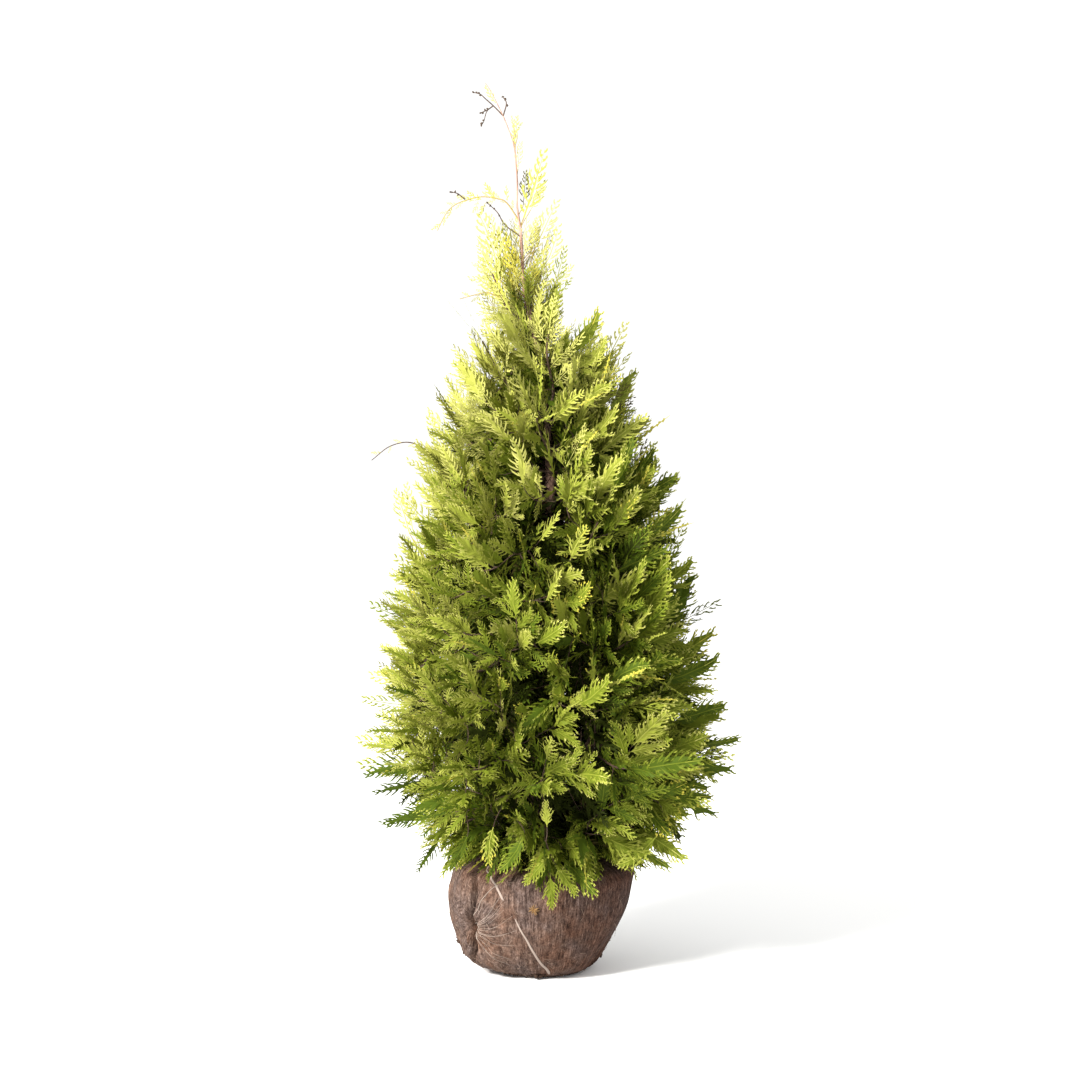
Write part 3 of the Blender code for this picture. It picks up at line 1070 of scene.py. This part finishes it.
def arches(rng):
    """The thin shoots that arch over, with tufts along them."""
    for line in ARCHES:
        path = front_line(line)
        wood = YOUNG_TWIGS if path[0][2] > 1.1 else TWIGS
        wood.add(path, *ARCH_RADII)
        for k in range(3, len(path) - 1, 3):
            way = unit(path[k + 1] - path[k])
            side = 1 if k % 2 else -1
            plane = np.array([rng.normal(0, 0.4), 1.0, rng.normal(0, 0.4)])
            heading = way + side * np.cross(unit(plane), way) * rng.uniform(0.5, 1.0)
            length = rng.uniform(0.014, 0.026)
            colours = PLUME_COLOURS[int(rng.integers(0, 2))]
            place_spray(path[k], heading, plane, length, rng, kind="tuft", colours=colours, droop=0.0)


def front_sprays(joints, rng):
    """The fans that stand out at the front, low down."""
    for x, z, tip_x, tip_z, depth, step in FRONT_SPRAYS:
        base = np.array([x, depth, z])
        way = np.array([tip_x - x, rng.uniform(-0.01, 0.01), tip_z - z])
        length = np.linalg.norm(way)
        path = joints.way_to(base, unit(way), 0.3, 7)
        TWIGS.add(path, *SHORT_TWIG_RADII, sides=3)
        plane = np.array([rng.normal(0, 0.2), -1.0, 0.25 + rng.normal(0, 0.15)])
        colours = shades(step) if step else ("mid", "bright", "gold")
        place_spray(base, way, plane, length * 1.10, rng, kind="fan", colours=colours, droop=0.0)


def make_buds(material):
    """The small dark cone buds at the ends of the brown twigs round the leader."""
    rng = np.random.default_rng(SEED + 9)
    points, faces = [], []
    for path in BUDDED:
        for back in (1, 3, 5, 8):
            aside = np.array([rng.normal(0, 1), 0.6 * rng.normal(0, 1), rng.normal(0, 1)])
            centre = path[-back] + unit(aside) * BUD_OFFSET * (back > 1)
            pole = unit(rng.normal(0, 1, 3)) * BUD_HALF_LENGTH
            side = unit(np.cross(pole, rng.normal(0, 1, 3))) * BUD_RADIUS
            other = unit(np.cross(pole, side)) * BUD_RADIUS
            first = len(points)
            points += [centre + pole, centre - pole]
            angles = np.arange(6) * math.tau / 6
            points += [centre + side * math.cos(a) + other * math.sin(a) for a in angles]
            for k in range(6):
                a, b = first + 2 + k, first + 2 + (k + 1) % 6
                faces += [(first, a, b), (first + 1, b, a)]
    make_piece("buds", "bark", points, faces, material, smooth=True)


def hanging_sprays(joints, rng):
    """Sprays that hang from the lowest limbs over the top of the ball."""
    for angle in np.linspace(0, math.tau, HANGING_SHOOTS, endpoint=False):
        out = level_way(angle + rng.normal(0, 0.05))
        goal = trunk_at(rng.uniform(0.255, 0.30)) + out * rng.uniform(0.07, 0.18)
        fall = math.radians(rng.uniform(25, 60))
        way = out * math.cos(fall) - UP * math.sin(fall)
        root, root_way = joints.best(goal, way)
        path = bezier(root, root + root_way * 0.02, goal - way * 0.03, goal, 6)
        TWIGS.add(path, *SHORT_TWIG_RADII, sides=3)
        leafy_shoot(path, 0.6, rng, leafy=0.03, size=0.72)


def outline_shoots(joints, rng):
    """The single shoots that stand out of the crown's outline in the photo."""
    for x, z, rise, length in OUTLINE_SHOOTS:
        depth = rng.uniform(-0.03, 0.02)
        aside = math.copysign(math.cos(math.radians(rise)), x)
        way = unit(np.array([aside, rng.uniform(-0.15, 0.1), math.sin(math.radians(rise))]))
        goal = np.array([x, depth, z]) - way * length
        path = joints.way_to(goal, way, 0.2, 8)
        TWIGS.add(path, *OUTLINE_RADII)
        joints.add(path[2:6])
        plane = unit(np.array([rng.normal(0, 0.3), 1.0, rng.normal(0, 0.5)]))
        shaded = x < 0 and z < 0.39
        kind = "fine" if shaded else "fan" if x > 0 and z < 0.8 else "lace"
        colours = ("green", "green", "green") if shaded else None
        place_spray(goal, way, plane, length, rng, kind=kind, colours=colours, droop=0.0)
        leafy_shoot(path, 0.2, rng, terminal=False)


def inner_sprays(joints, rng):
    """Coarse shaded sprays on short twigs, which fill the crown behind the leafy shoots."""
    made = 0
    while made < INNER_SPRAYS:
        height = rng.uniform(0.24, 1.14)
        angle = rng.uniform(0, math.tau)
        reach = CROWN.at(angle, height)
        if reach < 0.10 or rng.random() > reach / 0.36:
            continue
        if in_parting(math.degrees(angle), height, rng):
            continue
        out = level_way(angle)
        inside = max(0.012, (reach - 0.15) * math.sqrt(rng.uniform(0.02, 1.0)))
        point = trunk_at(height) + out * inside
        way = out * rng.uniform(0.1, 1.0) + UP * rng.uniform(-0.5, 0.9) + rng.normal(0, 0.5, 3)
        length = min(rng.uniform(0.08, 0.13), 0.7 * reach)
        if veils_trunk(point, way, length):
            continue
        lit = np.clip((height - 0.75) / 0.25, 0, 1) * 0.6 + (0.25 if point[0] < 0 else 0.0)
        draw = rng.random()
        colours = ("deep", "deep", "deep" if draw < 0.6 else "green")
        if rng.random() < lit:
            colours = ("green", "green", "mid") if draw < 0.5 else ("green", "mid", "mid")
        elif draw > 0.92:
            # Painted shade: a few inner sprays take the dark olive
            colours = ("deep", "olive", "olive")
        root, root_way = joints.best(point, unit(way))
        reach_out = (root_way + unit(point - root)) * np.linalg.norm(point - root) * 0.15
        path = bezier(root, root + reach_out, point - unit(way) * 0.01, point, 4)
        TWIGS.add(path, *INNER_RADII, sides=3)
        FOLIAGE.add("coarse", point, way, rng.normal(0, 1, 3), length, colours, 0.1, rng)
        made += 1


class Surface:
    """A material built from nodes: its sockets get values, or the outputs of other nodes."""

    def __init__(self, name, roughness, specular=0.5):
        self.material = bpy.data.materials.new(name)
        self.material.use_nodes = True
        self.tree = self.material.node_tree
        self.shader = self.tree.nodes["Principled BSDF"]
        self.shader.inputs["Roughness"].default_value = roughness
        self.shader.inputs["Specular IOR Level"].default_value = specular
        self.place = self.node("ShaderNodeTexCoord", {}).outputs["Object"]

    def node(self, kind, sockets, **settings):
        made = self.tree.nodes.new(kind)
        for name, value in settings.items():
            setattr(made, name, value)
        for key, value in sockets.items():
            if isinstance(value, bpy.types.NodeSocket):
                self.tree.links.new(value, made.inputs[key])
            else:
                made.inputs[key].default_value = value
        return made

    def vector(self, operation, first, second=(0, 0, 0)):
        made = self.node("ShaderNodeVectorMath", {0: first, 1: second}, operation=operation)
        return made.outputs["Value" if operation == "DISTANCE" else "Vector"]

    def scaled(self, *scale):
        """The object's coordinates, each times its scale."""
        return self.vector("MULTIPLY", self.place, scale)

    def noise(self, source, detail, rough):
        sockets = {"Vector": source, "Scale": 1.0, "Detail": detail, "Roughness": rough}
        return self.node("ShaderNodeTexNoise", sockets).outputs["Fac"]

    def ramp(self, value, stops):
        """A colour ramp from pairs of position and colour."""
        made = self.node("ShaderNodeValToRGB", {"Fac": value})
        elements = made.color_ramp.elements
        while len(elements) < len(stops):
            elements.new(0.5)
        for element, (position, colour) in zip(elements, stops):
            element.position = position
            element.color = (*colour, 1)
        return made.outputs["Color"]

    def fade(self, value, low, high, first, last):
        """First below the low value, last above the high one, and even steps between."""
        sockets = {"Value": value, "From Min": low, "From Max": high, "To Min": first, "To Max": last}
        return self.node("ShaderNodeMapRange", sockets).outputs["Result"]

    def blend(self, value, share, rest=0.0):
        """A share of the value on top of the rest."""
        sockets = {0: value, 1: share, 2: rest}
        return self.node("ShaderNodeMath", sockets, operation="MULTIPLY_ADD").outputs[0]

    def tint(self, colour, other, factor=1.0):
        """One colour times another, as strongly as the factor says."""
        sockets = {0: factor, 6: colour, 7: other}
        made = self.node("ShaderNodeMix", sockets, data_type="RGBA", blend_type="MULTIPLY")
        return made.outputs[2]

    def finish(self, colour, height, depth):
        """Puts the colour and the relief on the shader."""
        relief = self.node("ShaderNodeBump", {"Height": height, "Distance": depth})
        self.tree.links.new(colour, self.shader.inputs["Base Color"])
        self.tree.links.new(relief.outputs["Normal"], self.shader.inputs["Normal"])
        return self.material


def bark_material(name, dark, light):
    """Bark with furrows drawn out along the wood."""
    bark = Surface(name, 0.85)
    furrows = bark.noise(bark.scaled(220, 220, 26), 4.0, 0.5)
    return bark.finish(bark.ramp(furrows, ((0.35, dark), (0.70, light))), furrows, 0.002)


def limb_mesh(path, radii, sides, relief, seed):
    """A limb of bark: a tube whose radius is broken by fissures that run along it."""
    across, other = tube_sides(path)
    travelled = lengths_along(path)
    points = []
    for i, centre in enumerate(path):
        for k in range(sides):
            angle = math.tau * k / sides
            spot = Vector((math.cos(angle) * 2.2 + seed, math.sin(angle) * 2.2, travelled[i] * 22))
            groove = noise.noise(spot) + 0.5 * noise.noise(spot * 2.3)
            radius = radii[i] * (1 + relief * groove)
            points.append(centre + radius * (math.cos(angle) * across[i] + math.sin(angle) * other[i]))
    top, last = len(points), len(points) - sides
    faces = tube_faces(len(path), sides).tolist()
    for k in range(sides):
        after = (k + 1) % sides
        faces += [(after, k, top), (last + k, last + after, top + 1)]
    return np.array(points + [path[0], path[-1]]), faces


def make_trunk(material):
    """The trunk and the leader, whose bends are rounded."""
    heights = np.linspace(TRUNK_CENTRES[0, 2], TRUNK_CENTRES[-1, 2], TRUNK_RINGS)
    near = np.interp(heights, (1.30, 1.42), (0.035, 0.010))
    near = np.minimum(near, np.minimum(heights - heights[0], heights[-1] - heights))
    path = np.array([
        np.mean([trunk_at(h + share * gap) for share in np.linspace(-1, 1, 9)], axis=0)
        for h, gap in zip(heights, near)
    ])
    radii = np.interp(heights, TRUNK_CENTRES[:, 2], TRUNK_RADII)
    radii = radii * np.interp(heights, (1.32, 1.46), (1.0, 0.62))
    points, faces = limb_mesh(path, radii, TRUNK_SIDES, TRUNK_RELIEF, 3)
    made = make_piece("trunk_bark", "bark", points, faces, material, smooth=True)
    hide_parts("trunk")


def make_boughs(material):
    """The main boughs, each started a little inside the trunk."""
    names = nodes_named("bough_")
    radii = np.linspace(*BOUGH_RADII, BOUGH_RINGS)
    t = np.linspace(0, 1, BOUGH_RINGS)[:, None]
    parts = []
    for number, name in enumerate(names):
        start, middle, end = bough_path(name)
        into = start + (start - middle) * 0.15
        control = 2 * middle - (into + end) / 2
        path = (1 - t) ** 2 * into + 2 * (1 - t) * t * control + t**2 * end
        parts.append(limb_mesh(path, radii, BOUGH_SIDES, BOUGH_RELIEF, number))
    made = make_piece("boughs_bark", "bark", *joined(parts), material, smooth=True)
    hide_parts(*names)


class Ball:
    """The hessian's surface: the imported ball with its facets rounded, then folds and creases."""

    def __init__(self):
        tree = joined_tree(["root_ball"])
        middle = Vector((0.0, 0.0, BALL_MIDDLE))
        far = 0.5
        climbs = np.linspace(-math.pi / 2, math.pi / 2, BALL_ROWS)
        close = np.linspace(-180, -100, BALL_TURNS // 2, endpoint=False)
        wide = np.linspace(-100, 180, BALL_TURNS // 2, endpoint=False)
        self.turns = np.radians(np.concatenate([close, wide]))
        self.ways = way_at(*np.meshgrid(climbs, self.turns, indexing="ij"))
        reach = np.empty(self.ways.shape[:2])
        for i, row in enumerate(self.ways):
            for j, way in enumerate(row):
                way = Vector(way)
                reach[i, j] = far - tree.ray_cast(middle + way * far, -way, far)[3]
        smooth = np.array([self.soften(self.turns, row) for row in reach])
        self.points = self.ways * smooth[..., None] + UP * BALL_MIDDLE
        self.fold()

    @staticmethod
    def outward(points):
        """The ways from the ball's middle to these points."""
        return unit(points - UP * BALL_MIDDLE)

    @staticmethod
    def soften(turns, row):
        """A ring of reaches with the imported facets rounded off."""
        even = np.linspace(-math.pi, math.pi, 241)[:-1]
        level = np.interp(even, turns, row, period=math.tau)
        level = np.mean([np.roll(level, k) for k in range(-5, 6)], axis=0)
        return np.interp(turns, even, level, period=math.tau)

    def fold(self):
        """Folds that run into the gather, swellings, sags, the lap and the tape's groove."""
        turn = np.arctan2(self.points[..., 1], self.points[..., 0])
        moved = self.gathered()
        for azimuth, width, height, tall, swell in SWELLINGS:
            apart = (np.degrees(turn) - azimuth + 180) % 360 - 180
            upwards = (self.points[..., 2] - height) / tall
            moved += swell * np.exp(-(apart / width) ** 2 - upwards**2)
        moved += self.lapped(turn)
        tape = np.minimum(self.line_distance(TAPE_UPPER), self.line_distance(TAPE_LOWER))
        moved -= 0.0022 * np.exp(-(tape / 0.012) ** 2)
        moved += 0.0060 * self.ripples(turn, 3.2, 0, 9.0)
        moved += 0.0030 * self.ripples(turn, 11, 5, 14.0)
        self.points += self.ways * (moved * np.clip(self.points[..., 2] / 0.02, 0, 1))[..., None]
        self.points[..., 2] = np.maximum(self.points[..., 2], 0.0)

    def gathered(self):
        """The folds and the dimple round the gather."""
        away = self.points - GATHER
        distance = np.linalg.norm(away, axis=-1)
        outward = self.outward(GATHER)
        east = unit(np.cross(outward, UP))
        around = np.arctan2(away @ np.cross(east, outward), away @ east)
        moved = 0.0030 * np.exp(-(distance / 0.075) ** 2) * np.sin(9 * around + 34 * distance)
        moved += 0.0016 * np.exp(-(distance / 0.13) ** 2) * np.sin(17 * around - 22 * distance)
        moved += 0.0040 * np.exp(-((distance - 0.026) / 0.011) ** 2)
        return moved - 0.0110 * np.exp(-(distance / 0.011) ** 2)

    def lapped(self, turn):
        """The step and the groove where the cloth laps over itself."""
        azimuths, heights = np.array(LAP).T
        height = self.points[..., 2]
        lap = np.radians(np.interp(height, heights, azimuths))
        across = (turn - lap) * np.hypot(self.points[..., 0], self.points[..., 1])
        ends = np.clip((height - 0.030) / 0.03, 0, 1) * np.clip((0.235 - height) / 0.01, 0, 1)
        edge = 1 / (1 + np.exp(np.clip(across / 0.0009, -30, 30)))
        step = 0.0080 * edge * np.exp(-(across / 0.040) ** 2)
        return (step - 0.0150 * np.exp(-((across - 0.002) / 0.0030) ** 2)) * ends

    def ripples(self, turn, fine, aside, upwards):
        """Soft noise over the surface, this fine round the ball and upwards."""
        return np.array([
            noise.noise(Vector((math.cos(t) * fine + aside, math.sin(t) * fine, z * upwards)))
            for t, z in zip(turn.ravel(), self.points[..., 2].ravel())
        ]).reshape(turn.shape)

    def line_distance(self, line):
        """How far each point of the surface is from a line on it."""
        best = np.full(self.points.shape[:2], 9.0)
        for place in self.on_surface(line, 40):
            best = np.minimum(best, np.linalg.norm(self.points - place, axis=-1))
        return best

    def on_surface(self, line, count):
        """Points along a line given by azimuth and height, on the present surface."""
        line = smoothed(np.array([(math.radians(a), z, 0.0) for a, z in line]), 8)
        share = np.linspace(0, len(line) - 1, count)
        azimuths = np.interp(share, np.arange(len(line)), line[:, 0])
        heights = np.interp(share, np.arange(len(line)), line[:, 1])
        places = []
        for azimuth, height in zip(azimuths, heights):
            azimuth = (azimuth + math.pi) % math.tau - math.pi
            profile = self.points[:, int(np.argmin(abs(self.turns - azimuth)))]
            radius = np.interp(height, profile[:, 2], np.hypot(profile[:, 0], profile[:, 1]))
            places.append(radius * level_way(azimuth) + UP * height)
        return np.array(places)


def hessian_material():
    """Hessian: cords that run up the ball, threads that run into the gather, and stained cloth, darkened
    to the right by painted shade.
    """
    cloth = Surface("hessian", 0.95, 0.10)
    gather = tuple(GATHER)
    flat = cloth.vector("NORMALIZE", cloth.scaled(1, 1, 0))
    cords = cloth.vector("MULTIPLY", flat, (58, 58, 58))
    cords = cloth.noise(cloth.vector("ADD", cords, cloth.scaled(20, 20, 40)), 2.0, 0.55)
    spread = cloth.vector("NORMALIZE", cloth.vector("SUBTRACT", cloth.place, gather))
    threads = cloth.vector("MULTIPLY", spread, (13, 13, 13))
    threads = cloth.noise(cloth.vector("ADD", threads, cloth.scaled(24, 24, 24)), 2.0, 0.55)
    near = cloth.fade(cloth.vector("DISTANCE", cloth.place, gather), 0.050, 0.115, 1.0, 0.0)
    lines = cloth.node("ShaderNodeMix", {0: near, 2: cords, 3: threads}).outputs[0]
    weave = cloth.noise(cloth.scaled(420, 420, 260), 2.0, 0.70)
    fleck = cloth.noise(cloth.scaled(120, 120, 90), 3.0, 0.65)
    total = cloth.blend(lines, 0.38, cloth.blend(weave, 0.34, cloth.blend(fleck, 0.28)))
    stains = cloth.ramp(cloth.noise(cloth.scaled(17, 17, 17), 3.0, 0.55), HESSIAN_STAINS)
    colour = cloth.tint(cloth.ramp(total, HESSIAN_TONES), stains)
    across = cloth.node("ShaderNodeSeparateXYZ", {0: cloth.place}).outputs["X"]
    # Painted shade: the cloth darkens towards the right, where shade falls
    painted_shade = cloth.fade(across, *PAINTED_SHADE_REACH, 0.0, 1.0)
    return cloth.finish(cloth.tint(colour, PAINTED_SHADE_TINT, painted_shade), total, 0.0009)


def make_ball():
    """The wrapped ball with its tape, string, loose fibres and crumbs of earth."""
    rng = np.random.default_rng(SEED + 20)
    ball = Ball()
    points, faces = ball.points.reshape(-1, 3), tube_faces(BALL_ROWS, BALL_TURNS)
    made = make_piece("root_ball_cloth", "hessian_ball", points, faces, hessian_material(), smooth=True)
    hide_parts("root_ball")
    make_tape(ball)
    make_string(ball)
    make_fibres(ball, rng)
    make_tuft(ball, rng)
    make_threads(ball)
    make_crumbs(ball, rng)


def make_tape(ball):
    """The flat tape in two stretches, which goes under the cloth between them."""
    parts = []
    for line, top_half, foot_half in ((TAPE_UPPER, 0.0014, 0.0024), (TAPE_LOWER, 0.0012, 0.0030)):
        path = ball.on_surface(line, 36)
        outward = ball.outward(path)
        across = unit(np.cross(np.gradient(path, axis=0), outward))
        travelled = np.linspace(0, 1, len(path))
        ends = np.clip((np.abs(travelled - 0.5) - 0.40) / 0.10, 0, 1)
        half = (top_half + (foot_half - top_half) * travelled) * (1 - 0.75 * ends)
        path = path + across * (0.0012 * np.sin(travelled * 7.0))[:, None]
        rise = 0.0010 - 0.0030 * ends**2
        lines = [
            path + across * (side * half)[:, None] + outward * (rise + lift)[:, None]
            for side, lift in ((-1.0, 0.0), (-0.4, 0.0005), (0.4, 0.0005), (1.0, 0.0))
        ]
        parts.append((np.concatenate(lines), tube_faces(len(lines), len(path), closed=False)))
    material = plain_material("tape", TAPE_COLOUR, 0.7, 0.2)
    make_piece("tape", "hessian_ball", *joined(parts), material, smooth=True)


def make_string(ball):
    """The thin string from the gather up to the tape."""
    string = Wood()
    path = ball.on_surface(STRING, 40)
    string.add(path + ball.outward(path) * 0.0004, 0.0009, 0.0007, sides=6)
    string.piece("string", "hessian_ball", plain_material("string", STRING_COLOUR, 0.8))


def make_fibres(ball, rng):
    """Loose fibres of the hessian, scattered over the ball."""
    hairs = Wood()
    flat = ball.points[18:-12].reshape(-1, 3)
    share = np.linspace(0, 1, 5)[:, None]
    for _ in range(FIBRES):
        place = flat[int(rng.integers(len(flat)))]
        outward = ball.outward(place)
        way = unit(np.cross(outward, rng.normal(0, 1, 3)))
        length = rng.uniform(0.006, 0.018)
        bow = rng.uniform(0.0008, 0.0030) * np.sin(math.pi * share * rng.uniform(0.5, 1.1))
        path = place + way * length * share + outward * bow
        path[:, 2] = np.maximum(path[:, 2], 0.0005)
        hairs.add(path, 0.00030, 0.00020, sides=3)
    hairs.piece("fibres", "hessian_ball", plain_material("fibres", FIBRE_COLOUR, 0.9))


def make_tuft(ball, rng):
    """A frayed tuft at the front, to the right of the tape."""
    frayed = Wood()
    root = ball.on_surface(((-96, 0.153), (-94, 0.153)), 3)[1]
    outward = ball.outward(root)
    share = np.linspace(0, 1, 5)[:, None]
    for _ in range(FRAYED_ENDS):
        way = unit(np.cross(outward, rng.normal(0, 1, 3)) + outward * rng.uniform(0.1, 0.9))
        curl = np.cross(way, outward) * rng.uniform(-0.004, 0.004)
        path = root + way * rng.uniform(0.006, 0.012) * share + curl * share**2 - outward * 0.0005
        frayed.add(path, 0.0007, 0.0004, sides=3)
    frayed.piece("tuft", "hessian_ball", plain_material("tuft", TUFT_COLOUR, 0.9))


def make_threads(ball):
    """Pale threads drawn into the gather, which fan out to its right and sag."""
    rng = np.random.default_rng(SEED + 21)
    middle = math.degrees(math.atan2(GATHER[1], GATHER[0]))
    radius = math.hypot(GATHER[0], GATHER[1])
    threads = Wood()
    for rise in np.linspace(-62, 55, THREADS):
        rise = math.radians(rise + rng.normal(0, 4))
        run = rng.uniform(0.035, 0.105)
        line = []
        for share in (0.12, 0.55, 1.0):
            aside = math.degrees(run * share * math.cos(rise) / radius)
            sag = 0.60 * run * share * (1 - share)
            line.append((middle + aside, GATHER[2] + run * share * math.sin(rise) - sag))
        path = ball.on_surface(line, 14)
        threads.add(path + ball.outward(path) * 0.0003, 0.00045, 0.00020, sides=3)
    threads.piece("threads", "hessian_ball", plain_material("threads", THREAD_COLOUR, 0.9))


def make_crumbs(ball, rng):
    """Crumbs of earth caught in the cloth low down."""
    places = [
        [rng.uniform(*span) for span in spans]
        for count, *spans in CRUMB_GROUPS
        for _ in range(count)
    ]
    rings, around = 6, 7
    climbs = math.pi * (np.arange(rings) / (rings - 1) - 0.5)
    ways = way_at(*np.meshgrid(climbs, math.tau * np.arange(around) / around, indexing="ij"))
    parts = []
    for azimuth, height, size in [*places, *SINGLE_CRUMBS]:
        centre = ball.on_surface(((azimuth, height), (azimuth + 0.1, height)), 2)[0]
        stretch = size * rng.uniform(0.55, 1.35, 3)
        aside = Vector((azimuth, height * 90, 0))
        points = [
            centre + way * stretch * (1 + 0.75 * noise.noise(Vector(way * 1.6) + aside))
            for way in ways.reshape(-1, 3)
        ]
        parts.append((points, tube_faces(rings, around)))
    points, faces = joined(parts)
    points[:, 2] = np.maximum(points[:, 2], 0.0003)
    make_piece("crumbs", "hessian_ball", points, faces, plain_material("earth", EARTH_COLOUR, 1.0, 0.05))


def make_sprays():
    """The sprays, one colour to a piece and no piece too large; they replace every mass."""
    masses = nodes_named("foliage_")
    first_piece = True
    for colour, points, faces in FOLIAGE.pieces():
        leaf = plain_material("leaf_" + colour, LEAF_COLOURS[colour], LEAF_ROUGHNESS, LEAF_SPECULAR)
        parts = math.ceil(len(faces) / PIECE_LIMIT)
        for part in range(parts):
            low, high = part * len(faces) // parts, (part + 1) * len(faces) // parts
            used, index = np.unique(faces[low:high], return_inverse=True)
            name = f"sprays_{colour}_{part + 1}"
            piece = make_piece(name, "foliage", points[used], index.reshape(-1, 3), leaf)
            if first_piece:
                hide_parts(*masses)
                first_piece = False


def set_in_scene(thing, place, aim):
    """Puts a camera or a lamp in the scene at its place, looking at its aim."""
    thing.location = place
    thing.rotation_euler = (Vector(aim) - Vector(place)).to_track_quat("-Z", "Y").to_euler()
    bpy.context.scene.collection.objects.link(thing)


def make_camera():
    data = bpy.data.cameras.new("camera")
    data.lens = CAMERA_LENS
    data.sensor_width = CAMERA_SENSOR
    camera = bpy.data.objects.new("camera", data)
    set_in_scene(camera, CAMERA_PLACE, CAMERA_AIM)
    bpy.context.scene.camera = camera


def make_studio():
    """A bright white surround, one key light from the left and a white floor."""
    world = bpy.data.worlds.new("studio")
    world.use_nodes = True
    background = world.node_tree.nodes["Background"]
    background.inputs["Color"].default_value = SKY_COLOUR
    background.inputs["Strength"].default_value = SKY_STRENGTH
    bpy.context.scene.world = world
    bpy.context.scene.view_settings.view_transform = "Standard"
    data = bpy.data.lights.new("key", "AREA")
    data.size = KEY_SIZE
    data.energy = KEY_POWER
    data.color = KEY_COLOUR
    set_in_scene(bpy.data.objects.new("key", data), KEY_PLACE, KEY_AIM)
    corners = [(-30, -30, 0), (30, -30, 0), (30, 30, 0), (-30, 30, 0)]
    white = plain_material("floor", (0.97, 0.97, 0.97), 0.9, 0.0)
    floor = make_mesh("floor", corners, [(0, 1, 2), (0, 2, 3)], white)


def main():
    make_camera()
    make_studio()
    bark = bark_material("bark", *BARK_COLOURS)
    make_trunk(bark)
    make_boughs(bark)
    make_ball()
    grow_crown()
    TWIGS.piece("twigs", "bark", bark_material("twig_bark", *TWIG_COLOURS))
    YOUNG_TWIGS.piece("young_twigs", "bark", plain_material("young_twigs", YOUNG_COLOUR, 0.7))
    make_buds(plain_material("buds", BUD_COLOUR, 0.7))
    make_sprays()


main()
